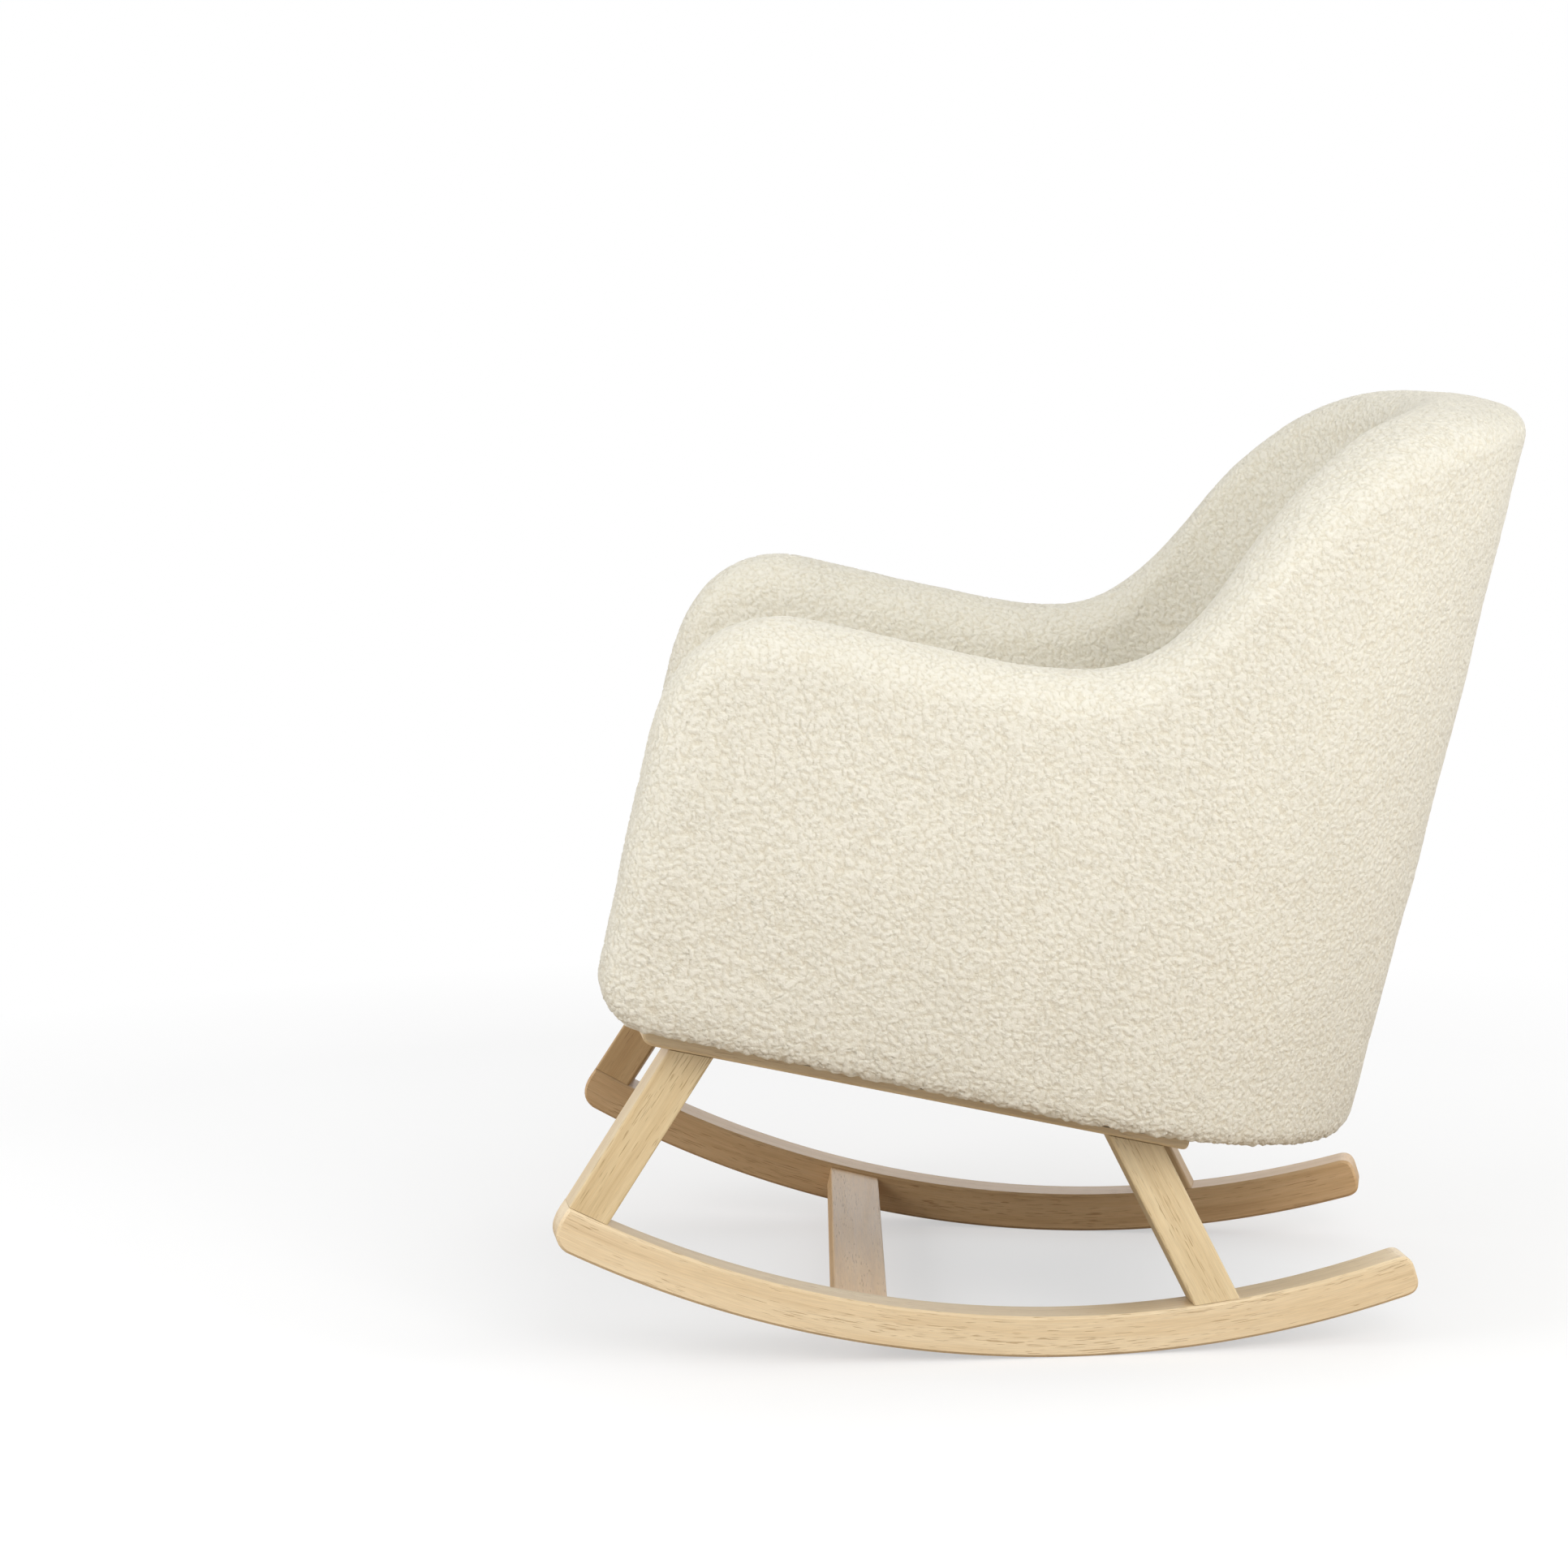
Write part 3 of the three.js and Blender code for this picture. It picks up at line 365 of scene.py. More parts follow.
def finish_wood(surface, grain, tint, offset):
    """Light open-grained timber on grain coordinates whose X runs along the fibres."""
    noises = []
    for along, across, detail, roughness in WOOD_NOISES:
        place = surface.stretched(grain, (along, across, across), offset=offset)
        noises.append(surface.noise(place, 1.0, detail, roughness).outputs["Fac"])
    bands, clouds, figure, fibres, flecks = noises
    rarity = surface.between(clouds, 0.35, 0.65, 0.74, 0.60)
    pores = surface.between(surface.math("SUBTRACT", flecks, rarity), 0.0, 0.06)
    bands = surface.math("MULTIPLY", bands, 0.4)
    broad = surface.math("ADD", bands, surface.math("MULTIPLY", clouds, 0.25))
    tone = surface.math("ADD", broad, surface.math("MULTIPLY", figure, 0.35))
    light, middle, dark = [[channel * t for channel, t in zip(c, tint)] for c in WOOD_TONES]
    color = surface.ramp(tone, (0.34, dark), (0.47, middle), (0.60, light))
    streaks = surface.between(fibres, 0.3, 0.7, 0.90, 1.05)
    shade = surface.add("ShaderNodeCombineColor", {0: streaks, 1: streaks, 2: streaks}).outputs[0]
    color = surface.mix(1.0, color, shade, "MULTIPLY")
    pore_color = [channel * t for channel, t in zip(dark, PORE_TINT)]
    color = surface.mix(surface.math("MULTIPLY", pores, 0.62), color, (*pore_color, 1))
    surface.fill(surface.shader, {
        "Base Color": color,
        "Roughness": surface.between(figure, 0.3, 0.7, 0.38, 0.52),
        "Coat Weight": 0.22,
        "Coat Roughness": 0.25,
    })
    relief = surface.math("SUBTRACT", surface.math("MULTIPLY", fibres, 0.4), pores)
    surface.fill(surface.shader, {"Normal": surface.bump(relief, 0.00025, 0.7)})
    return surface.material


def long_axis(node):
    """The direction in which a CAD node is longest."""
    points = points_of(NODES[node].data)
    centred = points - points.mean(0)
    axis = np.linalg.svd(centred, full_matrices=False)[2][0]
    return Vector(axis.tolist())


def straight_wood(node, number, tint=(1, 1, 1)):
    """Timber with its grain along a straight piece."""
    surface = Surface(f"oak {node.replace('_', ' ')}")
    turn = long_axis(node).rotation_difference(Vector((1, 0, 0))).to_euler()
    grain = surface.stretched(surface.place, (1, 1, 1), rotation=turn)
    return finish_wood(surface, grain, tint, (0.37 * number, 1.7 * number, 0.9 * number))


def curved_wood(node, sign, tint):
    """Timber with its grain round a runner's arc."""
    surface = Surface(f"oak {node.replace('_', ' ')}")
    centre = Vector((sign * RUNNER_GAUGE / 2, CONTACT.y, ROCK_RADIUS))
    shifted = surface.add("ShaderNodeVectorMath", {0: surface.place, 1: centre}, operation="SUBTRACT")
    spun = surface.add("ShaderNodeVectorRotate", {"Vector": shifted.outputs[0]}, rotation_type="Z_AXIS")
    surface.fill(spun, {"Angle": -sign * TOE})
    parts = surface.add("ShaderNodeSeparateXYZ", {0: spun.outputs[0]})
    x, y, z = parts.outputs
    down = surface.math("MULTIPLY", z, -1.0)
    along = surface.math("MULTIPLY", surface.math("ARCTAN2", y, down), ROCK_RADIUS)
    squares = surface.math("ADD", surface.math("MULTIPLY", y, y), surface.math("MULTIPLY", z, z))
    radius = surface.math("SQRT", squares)
    grain = surface.add("ShaderNodeCombineXYZ", {0: along, 1: radius, 2: x}).outputs[0]
    return finish_wood(surface, grain, tint, (2.1 * sign, 0.4, 1.3 * sign))


def plywood_material():
    """Raw plywood: thin plies seen on its edges, long figure on its faces."""
    surface = Surface("plywood", Roughness=0.75)
    plies = surface.add("ShaderNodeTexWave", {"Vector": surface.place, "Scale": 90.0, "Distortion": 0.8})
    figure = surface.noise(surface.stretched(surface.place, (120, 8, 120)), 1.0, 4).outputs["Fac"]
    tone = surface.math("ADD", surface.math("MULTIPLY", plies.outputs["Fac"], 0.3), figure)
    color = surface.ramp(tone, (0.35, (0.44, 0.30, 0.17)), (0.8, (0.68, 0.52, 0.33)))
    surface.fill(surface.shader, {"Base Color": color, "Normal": surface.bump(figure, 0.0003, 0.5)})
    return surface.material


def steel_material(name, color, scratches):
    """Plated steel with a fine drawn or turned finish."""
    surface = Surface(name, Metallic=1.0)
    marks = surface.noise(surface.stretched(surface.place, scratches), 1.0, 3).outputs["Fac"]
    stains = surface.noise(surface.place, 90, 3).outputs["Fac"]
    dull = tuple(channel * 0.72 for channel in color)
    surface.fill(surface.shader, {
        "Base Color": surface.ramp(stains, (0.3, dull), (0.6, color)),
        "Roughness": surface.between(marks, 0.3, 0.7, 0.22, 0.46),
        "Normal": surface.bump(marks, 0.00005, 0.5),
    })
    return surface.material


def felt_material():
    """Grey-cream needled felt: matted fibres with darker specks."""
    surface = Surface("deck felt", Roughness=0.95, Sheen_Weight=0.2)
    fibres = surface.noise(surface.warped(surface.place, 60, 0.02), 420, 5, 0.7).outputs["Fac"]
    specks = surface.noise(surface.place, 700, 2).outputs["Fac"]
    color = surface.ramp(fibres, (0.3, (0.44, 0.40, 0.32)), (0.7, (0.70, 0.65, 0.55)))
    dots = surface.between(specks, 0.68, 0.74)
    surface.fill(surface.shader, {
        "Base Color": surface.mix(dots, color, (0.22, 0.20, 0.17, 1)),
        "Normal": surface.bump(fibres, 0.0008, 0.8),
    })
    return surface.material


def dust_cloth_material():
    """Black spunbonded cloth: short random fibres under a grid of pressed points."""
    surface = Surface("dust cloth", Roughness=0.85)
    fibres = surface.noise(surface.warped(surface.place, 120, 0.01), 900, 4, 0.7).outputs["Fac"]
    inputs = {"Vector": surface.place, "Scale": 480.0, "Randomness": 0.1}
    points = surface.add("ShaderNodeTexVoronoi", inputs)
    pressed = surface.between(points.outputs["Distance"], 0.15, 0.3)
    color = surface.ramp(fibres, (0.3, (0.012, 0.012, 0.012)), (0.7, (0.045, 0.043, 0.04)))
    height = surface.math("ADD", surface.math("MULTIPLY", fibres, 0.5), pressed)
    surface.fill(surface.shader, {"Base Color": color, "Normal": surface.bump(height, 0.0002, 0.7)})
    return surface.material


def zip_material():
    """Woven nylon tape, ribbed all along like a zip's coil."""
    surface = Surface("nylon zip", Roughness=0.55)
    inputs = {"Vector": surface.place, "Scale": 260.0}
    weave = surface.add("ShaderNodeTexWave", inputs, bands_direction="X")
    level = surface.add("ShaderNodeSeparateXYZ", {0: surface.place}).outputs[2]
    threads = surface.noise(surface.place, 900, 2).outputs["Fac"]
    color = surface.ramp(weave.outputs["Fac"], (0.2, (0.50, 0.44, 0.33)), (0.7, (0.80, 0.74, 0.61)))
    relief = surface.math("ADD", weave.outputs["Fac"], surface.math("MULTIPLY", threads, 0.4))
    glint = surface.between(level, 0.3, 0.5, 0.45, 0.6)
    surface.fill(surface.shader, {"Base Color": color, "Roughness": glint})
    surface.fill(surface.shader, {"Normal": surface.bump(relief, 0.0004, 0.9)})
    return surface.material


def floor_material():
    """Pale studio floor, lifted towards white where the camera sees it, as a retouched backdrop is."""
    surface = Surface("studio floor", Roughness=0.8)
    seen = surface.add("ShaderNodeLightPath").outputs["Is Camera Ray"]
    tone = surface.mix(seen, FLOOR_BOUNCE, FLOOR_SEEN)
    surface.fill(surface.shader, {"Base Color": tone, "Specular IOR Level": 0.1})
    distance = surface.add("ShaderNodeVectorMath", {0: surface.place}, operation="LENGTH")
    far = surface.between(distance.outputs["Value"], *FLOOR_FADE)
    lifted = surface.math("MAXIMUM", far, surface.math("MULTIPLY", seen, FLOOR_LIFT))
    glow = surface.add("ShaderNodeEmission", {"Color": (1, 1, 1, 1), "Strength": 1.0})
    shaders = {0: lifted, 1: surface.shader.outputs[0], 2: glow.outputs[0]}
    blend = surface.add("ShaderNodeMixShader", shaders)
    output = surface.tree.nodes["Material Output"]
    surface.tree.links.new(blend.outputs[0], output.inputs["Surface"])
    return surface.material


PILE = pile_material()
PLYWOOD = plywood_material()


# ------------------------------------------------------------------ the tub's lines

def backness(u):
    """How much of the back there is at u: 0 on the arms, 1 at the very back."""
    return smoothstep(u, CURVE_START, BACK_CENTRE)


def straight_half(u):
    return CREST_HALF_WIDTH - SIDE_TOE * (u - CURVE_START)


def crest_height(u):
    past = u - SWEEP_MIDDLE
    bend = np.sqrt(past * past + SWEEP_BLEND ** 2) - SWEEP_BLEND
    steepness = (past + bend) / (2 * SWEEP_HIGH) + (past - bend) / (2 * SWEEP_LOW)
    rise = 0.5 + 0.5 * np.tanh(steepness)
    return ARM_HEIGHT + (BACK_HEIGHT - ARM_HEIGHT) * rise


def corner_share(distance, reach, squareness):
    """How much of a corner is used up at a distance from its end: 0 at the end, 1 past its reach."""
    left = np.clip(1 - distance / reach, 0, 1)
    return (1 - left ** squareness) ** (1 / squareness)


NOSE_STEPS = 26
STRAIGHT_STEPS = 44
CURVE_STEPS = 64


def tub_path(front):
    """Points and outward normals of the tub's centre line in plan, from left arm to right."""
    nose = front + NOSE * (np.arange(NOSE_STEPS) / NOSE_STEPS) ** 2
    straight = np.linspace(front + NOSE, CURVE_START, STRAIGHT_STEPS, endpoint=False)
    angle = np.linspace(0, math.pi / 2, CURVE_STEPS + 1)
    curve_u = CURVE_START + (BACK_CENTRE - CURVE_START) * np.sin(angle) ** (2 / BACK_SQUARENESS)
    curve_x = straight_half(curve_u) * np.maximum(np.cos(angle), 0) ** (2 / BACK_SQUARENESS)
    u = np.concatenate([nose, straight, curve_u])
    x = np.concatenate([straight_half(nose), straight_half(straight), curve_x])
    path = np.stack([np.concatenate([x, -x[-2::-1]]), np.concatenate([u, u[-2::-1]])], 1)
    along = np.gradient(path, axis=0)
    along /= np.linalg.norm(along, axis=1, keepdims=True)
    return path, np.stack([along[:, 1], -along[:, 0]], 1)


def beside_tub_path(places):
    """How far places in plan lie outwards of the tub's centre line, and its u and normal there."""
    path, normals = tub_path(TUB_FRONT)
    offsets = places[:, None] - path[None]
    nearest = (offsets ** 2).sum(2).argmin(1)
    outwards = (offsets[np.arange(len(places)), nearest] * normals[nearest]).sum(1)
    return outwards, path[nearest, 1], normals[nearest]


HEM_POINTS = 7  # of the wall's outline, piece by piece
FACE_POINTS = 34
ROLL_POINTS = 33
UNDER_POINTS = 9


def wall_section(u):
    """The wall's outline at u, outwards and up, from the hem over the roll and down inside."""
    distance = u - TUB_FRONT
    thin = EDGE_ROUND * (1 - corner_share(distance, EDGE_ROUND, 2))
    back = backness(u)
    outer = WALL / 2 - thin
    inner = outer + BACK_PAD * back
    bottom = FOOT_CORNER * (1 - corner_share(distance, FOOT_CORNER, 2))
    top = crest_height(u) - CORNER_DROP * (1 - corner_share(distance, CORNER_REACH, CORNER_SQUARENESS))
    half = (inner + outer) / 2
    middle = (outer - inner) / 2
    roll = half * (ARM_ROLL + (BACK_ROLL - ARM_ROLL) * back)
    roll_centre = top - roll
    tilt = ROLL_TILT * back
    hem = min(HEM_ROUND, half * 0.6)
    flare = FLARE * min(1, half / (WALL / 2))
    belly = BELLY * (1 - thin / (WALL / 2)) * (1 - back)

    quarter = np.linspace(0, math.pi / 2, HEM_POINTS)
    hem_out = outer - flare - hem + hem * np.sin(quarter)
    hem_up = bottom + hem - hem * np.cos(quarter)
    up = np.linspace(bottom + hem, roll_centre + tilt, FACE_POINTS)[1:-1]
    t = (up - bottom) / (roll_centre + tilt - bottom)
    face_out = outer - flare * (1 - t) ** 2 + belly * np.sin(math.pi * t)
    turn = np.linspace(0, math.pi, ROLL_POINTS)
    inner_up = np.linspace(roll_centre - tilt, bottom, FACE_POINTS)[1:]
    under = np.linspace(-inner, hem_out[0], UNDER_POINTS)[1:-1]
    power = 2 / (2 + ROLL_SQUARENESS * back)
    across = np.sign(np.cos(turn)) * np.abs(np.cos(turn)) ** power
    rise = np.maximum(np.sin(turn), 0) ** power
    over = roll_centre + roll * rise + tilt * across
    inner_out = np.full(len(inner_up), -inner)
    under_up = np.full(len(under), bottom)
    out = np.concatenate([hem_out, face_out, middle + half * across, inner_out, under])
    height = np.concatenate([hem_up, up, over, inner_up, under_up])
    return out, height


def tub_mesh():
    """The tub as one closed surface, in the row frame."""
    path, normals = tub_path(TUB_FRONT)
    rings = []
    for (x, u), (nx, nu) in zip(path, normals):
        out, up = wall_section(u)
        rings.append(np.stack([x + nx * out, u + nu * out, up], 1))
    count = len(rings[0])
    points = turned(np.concatenate(rings), BODY)
    faces = []
    for i in range(len(rings) - 1):
        for j in range(count):
            k = (j + 1) % count
            faces.append((i * count + j, i * count + k, (i + 1) * count + k, (i + 1) * count + j))
    last = (len(rings) - 1) * count
    faces.append(tuple(range(count))[::-1])
    faces.append(tuple(range(last, last + count)))
    mesh = bpy.data.meshes.new("tub")
    mesh.from_pydata(points.tolist(), [], faces)
    mesh.update()
    return mesh


# ------------------------------------------------------------------ soft pieces

def pile_texture(name, kind, size, **settings):
    texture = bpy.data.textures.new(name, kind)
    texture.noise_scale = size
    for key, value in settings.items():
        setattr(texture, key, value)
    return texture


CURLS = pile_texture(
    "curls", "DISTORTED_NOISE", CURL_SIZE,
    noise_basis="VORONOI_F2_F1", noise_distortion="IMPROVED_PERLIN", distortion=0.6,
)
TUFTS = pile_texture("tufts", "CLOUDS", 0.016, noise_depth=1)
LOCKS = pile_texture("locks", "CLOUDS", 0.007, noise_depth=0)
HOLLOWS = pile_texture("hollows", "CLOUDS", SLACK_SIZE, noise_depth=1)


def pattern_on(obj, texture):
    """The texture's value at each point of obj, from its low end to its high end as 0 to 1."""
    before = points_of(obj.data)
    normals = normals_of(obj.data)
    push = obj.modifiers.new(texture.name, "DISPLACE")
    push.texture = texture
    push.texture_coords = "LOCAL"
    push.strength = 0.001
    push.mid_level = 0.0
    bake(obj)
    value = ((points_of(obj.data) - before) * normals).sum(1)
    set_points(obj.data, before)
    low, high = np.percentile(value, (2, 98))
    return np.clip((value - low) / (high - low), 0, 1)


def raise_pile(obj, rests_at, hanging=0.0):
    """Uneven padding and plump curls all over, but for the flat underside that lies at rests_at.

    hanging says for each point how much of the hem's fringe there is.
    """
    turn = np.array(BODY.to_3x3())
    level = body_points(obj)[:, 2]
    facing_down = -(normals_of(obj.data) @ turn)[:, 2]
    under = smoothstep(facing_down, 0.80, 0.97) * smoothstep(rests_at + 0.006 - level, 0.0, 0.004)
    slack = (pattern_on(obj, HOLLOWS) - 0.5) * SLACK * smoothstep(level, rests_at, rests_at + 0.06)
    set_points(obj.data, points_of(obj.data) + normals_of(obj.data) * slack[:, None])
    plump = np.sin(np.minimum(pattern_on(obj, CURLS) / 0.5, 1) * math.pi / 2)
    height = plump * (0.75 + 0.25 * pattern_on(obj, TUFTS))
    lift = (height - 0.6) * PILE_HEIGHT * (1 - under)
    tufts = normals_of(obj.data) * lift[:, None]
    tufts -= turn[:, 2] * (hanging * pattern_on(obj, LOCKS) * FRINGE)[:, None]
    set_points(obj.data, points_of(obj.data) + tufts)
    # The curls' height is kept on each point for the pile's material, which paints shade into the
    # crevices from it.
    shade = obj.data.attributes.new("pile_height", "FLOAT", "POINT")
    shade.data.foreach_set("value", height.astype(np.float32))


def dress(obj, material, body):
    """Gives a new piece its material, slot and body."""
    obj.data.materials.clear()
    obj.data.materials.append(material)
    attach(obj, body)


def hem_share(obj):
    """1 on the tub's outer hem, fading out up the walls and inwards under it."""
    local = body_points(obj)
    low = np.flatnonzero(local[:, 2] < FRINGE_BAND)
    outwards = beside_tub_path(local[low, :2])[0]
    edge = WALL / 2 - FLARE
    share = np.zeros(len(local))
    share[low] = smoothstep(outwards, edge - 0.024, edge - 0.010)
    share[low] *= 1 - smoothstep(local[low, 2], 0.002, FRINGE_BAND)
    return share


def make_tub():
    tub = new_object("tub_upholstery", tub_mesh())
    remesh(tub, FABRIC_GRID)
    subdivide(tub, 1)
    raise_pile(tub, 0.0, hem_share(tub))
    shade_smooth(tub)
    dress(tub, PILE, "chair")
    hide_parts("tub_cover")


def shrink(obj, sides, flat, bottom):
    """Pulls a pad in from its neighbours before it swells."""
    local = body_points(obj)
    middle = (local.min(0) + local.max(0)) / 2
    local[:, :2] = middle[:2] + (local[:, :2] - middle[:2]) * sides
    local[:, 2] = bottom + (local[:, 2] - bottom) * flat
    set_body_points(obj, local)


def seam_groove(obj, levels, depth, width):
    """Sewn seams round a boxed cushion: narrow grooves at levels above the body's bottom."""
    local = body_points(obj)
    normals = normals_of(obj.data) @ np.array(BODY.to_3x3())
    sideways = np.hypot(normals[:, 0], normals[:, 1])
    pull = np.zeros(len(local))
    for level in levels:
        pull = np.maximum(pull, np.exp(-(((local[:, 2] - level) / width) ** 2)))
    pull *= smoothstep(sideways, 0.45, 0.8) * depth
    set_body_points(obj, local - normals * pull[:, None])


def meet_zip(cushion):
    """Brings the cushion's back edge out to the zip that is sewn along it."""
    local = body_points(cushion)
    off_level = np.abs(local[:, 2] - ZIP_LEVEL)
    edge = np.flatnonzero((local[:, 1] > 0) & (off_level < 0.040))
    outwards, along, normals = beside_tub_path(local[edge, :2])
    face = -(WALL / 2 + BACK_PAD * backness(along)) - ZIP_BEHIND
    share = 1 - smoothstep(off_level[edge], 0.008, 0.040)
    share *= smoothstep(along, ZIP_FROM - 0.06, ZIP_FROM - 0.01)
    local[edge, :2] += normals * ((face - outwards) * share)[:, None]
    set_body_points(cushion, local)


def settle(obj, bottom):
    """Flattens what would sink below the surface a pad lies on."""
    local = body_points(obj)
    local[:, 2] = np.maximum(local[:, 2], bottom)
    set_body_points(obj, local)


def make_cushion():
    cushion = copy_of("seat_cushion", "seat_cushion_cover")
    remesh(cushion, CUSHION_GRID, 6)
    shrink(cushion, 0.972, 0.93, CUSHION_BOTTOM)
    inflate(cushion, PADDING_PRESSURE, CUSHION_SWELL)
    relax(cushion, 6)
    subdivide(cushion, 2)
    settle(cushion, CUSHION_BOTTOM)
    meet_zip(cushion)
    seams = (CUSHION_TOP - SEAM_INSET, CUSHION_BOTTOM + SEAM_INSET)
    seam_groove(cushion, seams, SEAM_DEPTH, SEAM_WIDTH)
    raise_pile(cushion, CUSHION_BOTTOM)
    shade_smooth(cushion)
    dress(cushion, PILE, "cushion")
    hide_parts("seat_cushion")


def crown(border):
    """Raises the border's top edge at the front, into the hollow under the cushion's rounded edge."""
    local = body_points(border)
    front = 1 - smoothstep(local[:, 1], -0.499, -0.484)
    local[:, 2] += BORDER_CROWN * front * smoothstep(local[:, 2], 0.028, 0.040)
    set_body_points(border, local)


def make_front_border():
    border = copy_of("front_border", "front_border_pad")
    low = body_points(border)[:, 2].min()
    remesh(border, 0.004, 6)
    shrink(border, 0.985, 0.97, low)
    inflate(border, PADDING_PRESSURE, BORDER_SWELL)
    subdivide(border, 1)
    settle(border, low)
    crown(border)
    raise_pile(border, low)
    shade_smooth(border)
    dress(border, PILE, "chair")
    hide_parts("front_border")


def make_deck():
    """The deck pad, quilted down onto the springs in a square grid."""
    deck = copy_of("deck_pad", "deck_felt")
    remesh(deck, 0.003, 5)
    local = body_points(deck)
    half = QUILT_PITCH / 2
    lines = [np.abs((local[:, axis] + half) % QUILT_PITCH - half) for axis in (0, 1)]
    stitched = np.exp(-((np.minimum(*lines) / QUILT_WIDTH) ** 2))
    on_top = smoothstep(local[:, 2], DECK_TOP - 0.004, DECK_TOP - 0.001)
    local[:, 2] -= on_top * stitched * QUILT_DEPTH
    set_body_points(deck, local)
    shade_smooth(deck)
    dress(deck, felt_material(), "chair")
    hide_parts("deck_pad")


# ------------------------------------------------------------------ dust cover

def dust_half(u):
    """Half-width of the dust cover at u."""
    path, normals = tub_path(TUB_FRONT + FOOT_CORNER)
    edge = path + normals * (WALL / 2 - FLARE - DUST_INSET)
    half = len(edge) // 2 + 1
    return np.interp(u, edge[:half, 1], edge[:half, 0])


def dust_sag(x, u):
    """How far the cloth hangs between the rails, and between the boards."""
    across = smoothstep(0.19 - np.abs(x), 0.0, 0.15)
    under_springs = smoothstep(0.10 - np.abs(u + 0.215), 0.0, 0.10)
    behind_board = smoothstep(0.06 - np.abs(u - 0.11), 0.0, 0.06)
    return DUST_SAG * across * np.clip(under_springs + behind_board, 0, 1)


def make_dust_cover():
    path = tub_path(TUB_FRONT + FOOT_CORNER)[0]
    rear = path[:, 1].max() + WALL / 2 - FLARE - DUST_INSET
    rows = np.linspace(TUB_FRONT + FOOT_CORNER, rear - 0.0005, 150)
    columns = np.linspace(-1, 1, 121)
    half = dust_half(rows)
    x = half[:, None] * columns[None, :]
    u = np.repeat(rows[:, None], len(columns), 1)
    w = DUST_LEVEL - dust_sag(x, u)
    points = turned(np.stack([x, u, w], 2).reshape(-1, 3), BODY)
    faces = []
    for i in range(len(rows) - 1):
        for j in range(len(columns) - 1):
            a = i * len(columns) + j
            faces.append((a, a + len(columns), a + len(columns) + 1, a + 1))
    mesh = bpy.data.meshes.new("dust cover")
    mesh.from_pydata(points.tolist(), [], faces)
    cover = new_object("dust_cover_cloth", mesh)
    shade_smooth(cover)
    dress(cover, dust_cloth_material(), "chair")
    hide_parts("dust_cover")
    return rows, half


def make_staples(rows, half):
    """Wire staples that hold the dust cover's edge to the frame."""
    curve = bpy.data.curves.new("staples", "CURVE")
    curve.dimensions = "3D"
    curve.bevel_depth = STAPLE_WIRE
    curve.bevel_resolution = 1
    edge = np.concatenate([
        np.stack([half - STAPLE_INSET, rows], 1),
        np.stack([-half + STAPLE_INSET, rows], 1)[::-1],
    ])
    walked = np.concatenate([[0], np.cumsum(np.linalg.norm(np.diff(edge, axis=0), axis=1))])
    for place in np.arange(STAPLE_EVERY / 2, walked[-1], STAPLE_EVERY):
        x = np.interp(place, walked, edge[:, 0])
        u = np.interp(place, walked, edge[:, 1])
        ahead = np.array([np.interp(place + 0.004, walked, edge[:, k]) for k in (0, 1)]) - (x, u)
        along = ahead / max(np.linalg.norm(ahead), 1e-9) * STAPLE_HALF
        spline = curve.splines.new("POLY")
        spline.points.add(3)
        profile = ((-1, 0.0015), (-1, -0.0018), (1, -0.0018), (1, 0.0015))
        for point, (end, up) in zip(spline.points, profile):
            local = Vector((x + end * along[0], u + end * along[1], up))
            point.co = (*(BODY @ local), 1)
    staples = new_object("dust_cover_staples", curve)
    dress(staples, STEEL, "chair")


# ------------------------------------------------------------------ hard pieces

STEEL = steel_material("zinc plated steel", (0.62, 0.64, 0.66), (300, 300, 900))
SPRING_STEEL = steel_material("spring steel", (0.33, 0.34, 0.36), (900, 200, 200))


def give(names, material):
    """Puts one material on CAD nodes."""
    for name in names:
        mesh = NODES[name].data
        mesh.materials.clear()
        mesh.materials.append(material)


def named(*parts):
    return [name for name in NODES if name.startswith(parts)]


PART_TINTS = {
    "front_leg": (0.86, 0.835, 0.745),
    "rear_leg": (0.97, 0.98, 0.94),
    "top_rail": (1.0, 1.0, 0.98),
}
SIDE_SHADE_TINTS = {"left": (1.0, 1.04, 1.06), "right": (0.82, 0.72, 0.61)}  # painted light and shade on one wood: the near left side slightly lighter and cooler, the far right side darker and warmer as painted shade under the body
STRETCHER_TINT = (0.96, 0.86, 0.75)


def finish_cad_nodes():
    # Each side's tint goes on its runner, legs and top rail, so the right side carries painted shade.
    for side, sign in (("left", 1), ("right", -1)):
        side_shade = SIDE_SHADE_TINTS[side]
        give([f"runner_{side}"], curved_wood(f"runner_{side}", sign, side_shade))
        for number, part in enumerate(("front_leg", "rear_leg", "top_rail")):
            node = f"{part}_{side}"
            tint = [a * b for a, b in zip(PART_TINTS[part], side_shade)]
            give([node], straight_wood(node, 1 + number + sign, tint))
    give(["stretcher"], straight_wood("stretcher", 7, STRETCHER_TINT))
    give([name for name in NODES if "_dowel_" in name], straight_wood("stretcher", 9))
    give(named("front_seat_board", "rear_seat_board", "side_panel", "back_panel"), PLYWOOD)
    give(named("bolt_", "washer_", "tee_nut_"), STEEL)
    give(named("seat_spring_", "spring_clip_"), SPRING_STEEL)
    give(["cushion_zip"], zip_material())


# ------------------------------------------------------------------ studio

CAMERA = Vector((4.2723, -0.2567, 1.0714))  # from CONTACT
CAMERA_DOWN = math.radians(7.68)
CAMERA_YAW = math.radians(-0.22)
LENS_MM = 102.48
SENSOR_MM = 36.0

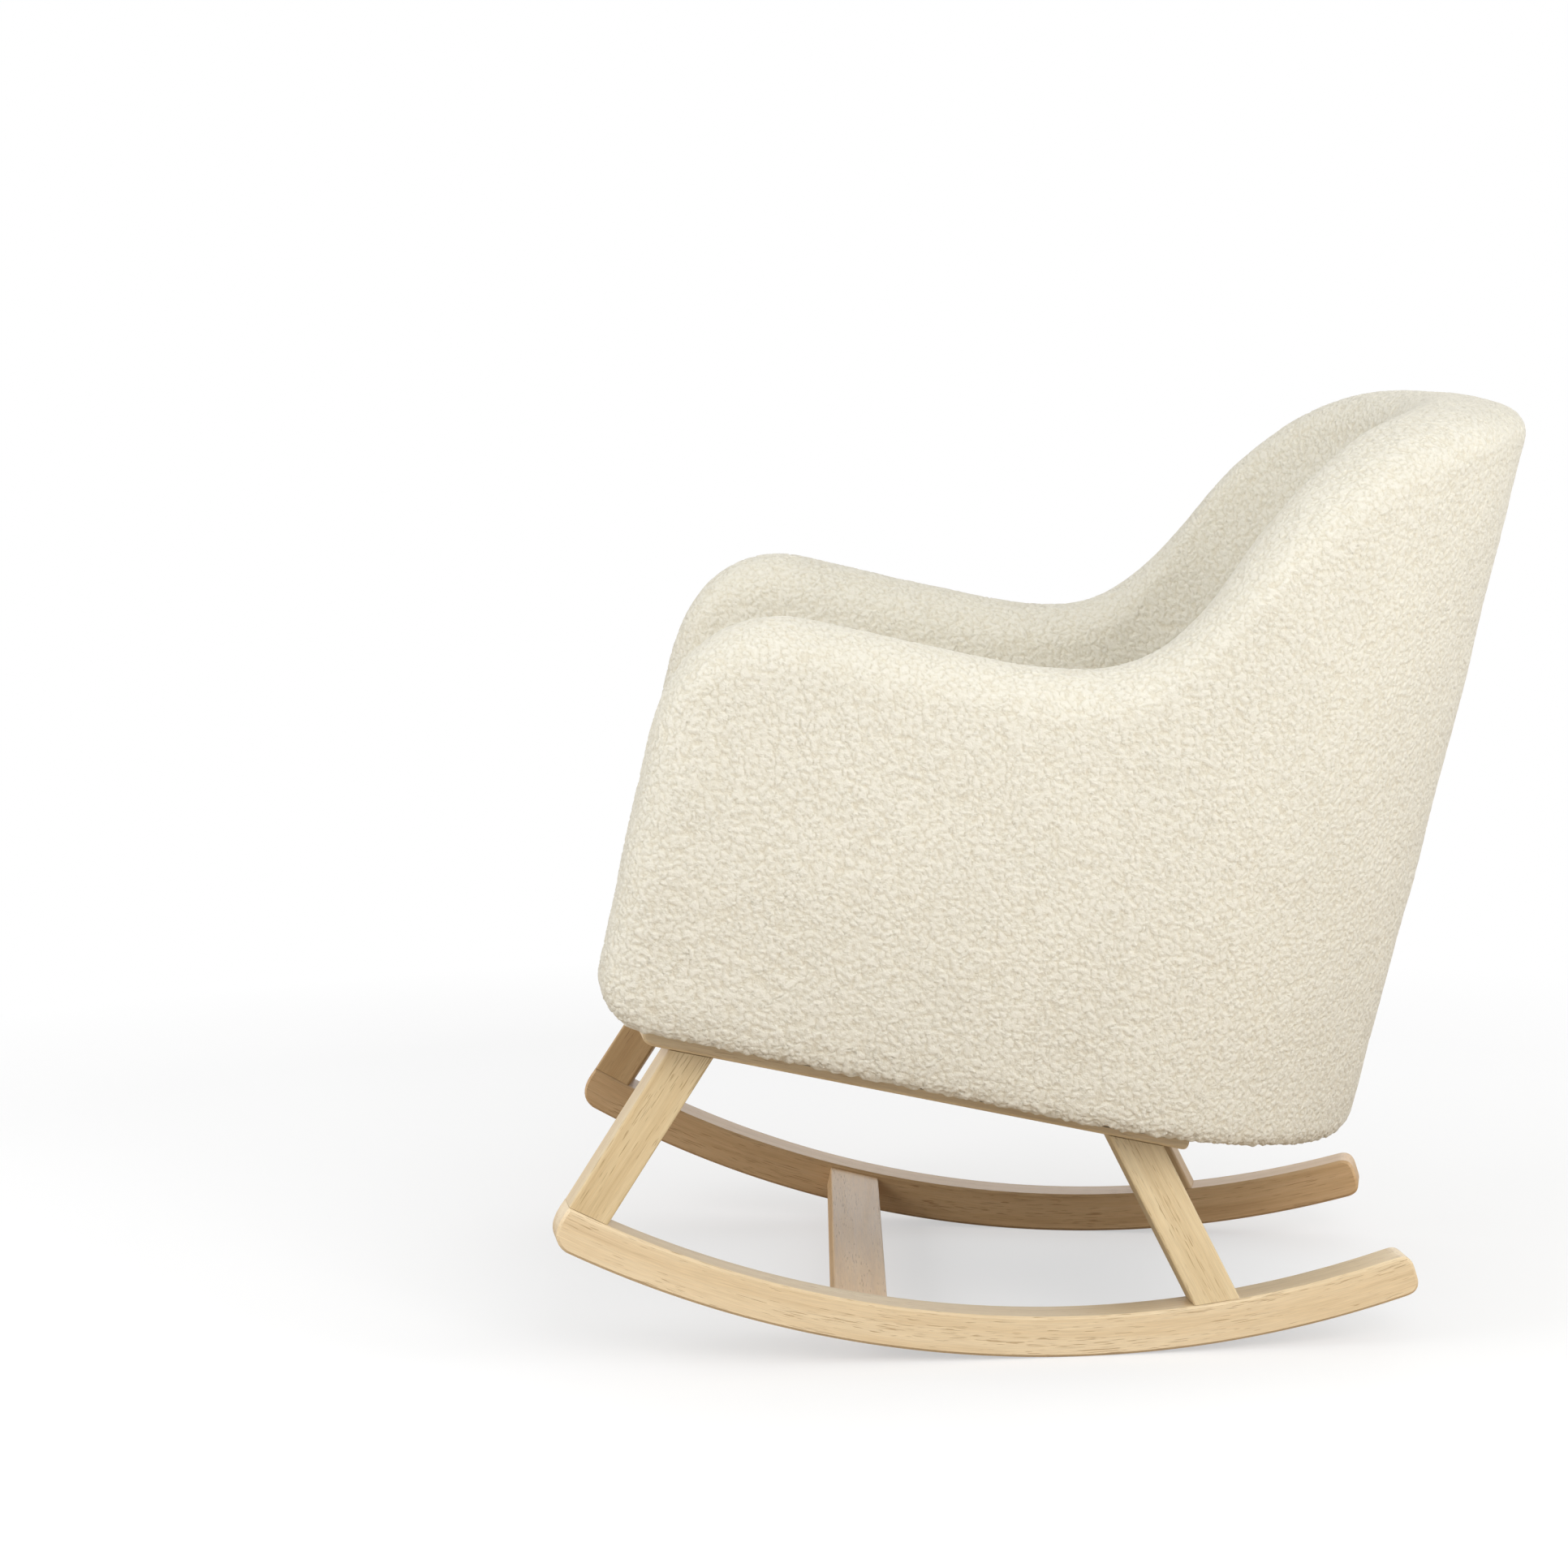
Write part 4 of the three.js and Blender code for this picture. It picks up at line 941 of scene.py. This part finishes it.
AMBIENT = (0.06, 0.66)  # at the horizon and overhead
BACKDROP = (0.12, 1.0)  # what gloss reflects from the camera's side, and from behind the chair
FLOOR_RADIUS = 40
FLOOR_LEVEL = -0.0004  # just under the runners
LIGHTS_AIM = Vector((0, 0, 0.45))
LIGHTS = {  # place, size, watts
    "key": ((3.7, 0.9, 2.2), 2.4, 86),
    "overhead": ((-0.3, 0.0, 3.5), 2.8, 3),
    "rear": ((1.6, 3.2, 1.9), 2.2, 41),
    "front": ((1.0, -3.1, 2.1), 2.2, 54),
    "far side": ((-3.2, 1.2, 2.0), 2.4, 15),
}


def add_camera():
    data = bpy.data.cameras.new("camera")
    data.lens = LENS_MM
    data.sensor_width = SENSOR_MM
    camera = new_object("camera", data)
    level = math.cos(CAMERA_DOWN)
    view = Vector((-level * math.cos(CAMERA_YAW), level * math.sin(CAMERA_YAW), -math.sin(CAMERA_DOWN)))
    camera.rotation_euler = view.to_track_quat("-Z", "Y").to_euler()
    camera.location = CAMERA + CONTACT
    bpy.context.scene.camera = camera


def add_light(name, place, size, watts):
    data = bpy.data.lights.new(name, "AREA")
    data.shape = "SQUARE"
    data.size = size
    data.energy = watts
    light = new_object(name, data)
    light.location = place
    light.rotation_euler = (LIGHTS_AIM - Vector(place)).to_track_quat("-Z", "Y").to_euler()


def add_floor():
    mesh = bpy.data.meshes.new("floor")
    with_floor = bmesh.new()
    bmesh.ops.create_circle(with_floor, cap_ends=True, radius=FLOOR_RADIUS, segments=64)
    with_floor.to_mesh(mesh)
    with_floor.free()
    floor = new_object("floor", mesh)
    floor.location.z = FLOOR_LEVEL
    mesh.materials.append(floor_material())


def add_world():
    """White to the camera, brighter overhead in soft light, darker on the camera's side in gloss."""
    world = bpy.data.worlds.new("studio")
    bpy.context.scene.world = world
    world.use_nodes = True
    tree = world.node_tree
    dim = tree.nodes["Background"]
    place = tree.nodes.new("ShaderNodeTexCoord")
    direction = tree.nodes.new("ShaderNodeSeparateXYZ")
    tree.links.new(place.outputs["Generated"], direction.inputs[0])
    rays = tree.nodes.new("ShaderNodeLightPath")
    white = tree.nodes.new("ShaderNodeBackground")
    mirrored = tree.nodes.new("ShaderNodeBackground")
    for background, axis, ends, levels in (
        (dim, "Z", (0.0, 0.6), AMBIENT),
        (mirrored, "X", (0.3, -0.3), BACKDROP),
    ):
        climb = tree.nodes.new("ShaderNodeMapRange")
        climb.inputs["From Min"].default_value, climb.inputs["From Max"].default_value = ends
        climb.inputs["To Min"].default_value, climb.inputs["To Max"].default_value = levels
        tree.links.new(direction.outputs[axis], climb.inputs["Value"])
        tree.links.new(climb.outputs["Result"], background.inputs["Strength"])
    for background in (dim, mirrored, white):
        background.inputs["Color"].default_value = (1, 1, 1, 1)
    lit = tree.nodes.new("ShaderNodeMixShader")
    blend = tree.nodes.new("ShaderNodeMixShader")
    tree.links.new(rays.outputs["Is Glossy Ray"], lit.inputs[0])
    tree.links.new(dim.outputs[0], lit.inputs[1])
    tree.links.new(mirrored.outputs[0], lit.inputs[2])
    tree.links.new(rays.outputs["Is Camera Ray"], blend.inputs[0])
    tree.links.new(lit.outputs[0], blend.inputs[1])
    tree.links.new(white.outputs[0], blend.inputs[2])
    tree.links.new(blend.outputs[0], tree.nodes["World Output"].inputs["Surface"])


def add_studio():
    add_floor()
    add_world()
    for name, (place, size, watts) in LIGHTS.items():
        add_light(name, place, size, watts)
    bpy.context.scene.view_settings.view_transform = "Standard"


add_camera()
add_studio()
finish_cad_nodes()
make_tub()
make_cushion()
make_front_border()
make_deck()
make_staples(*make_dust_cover())
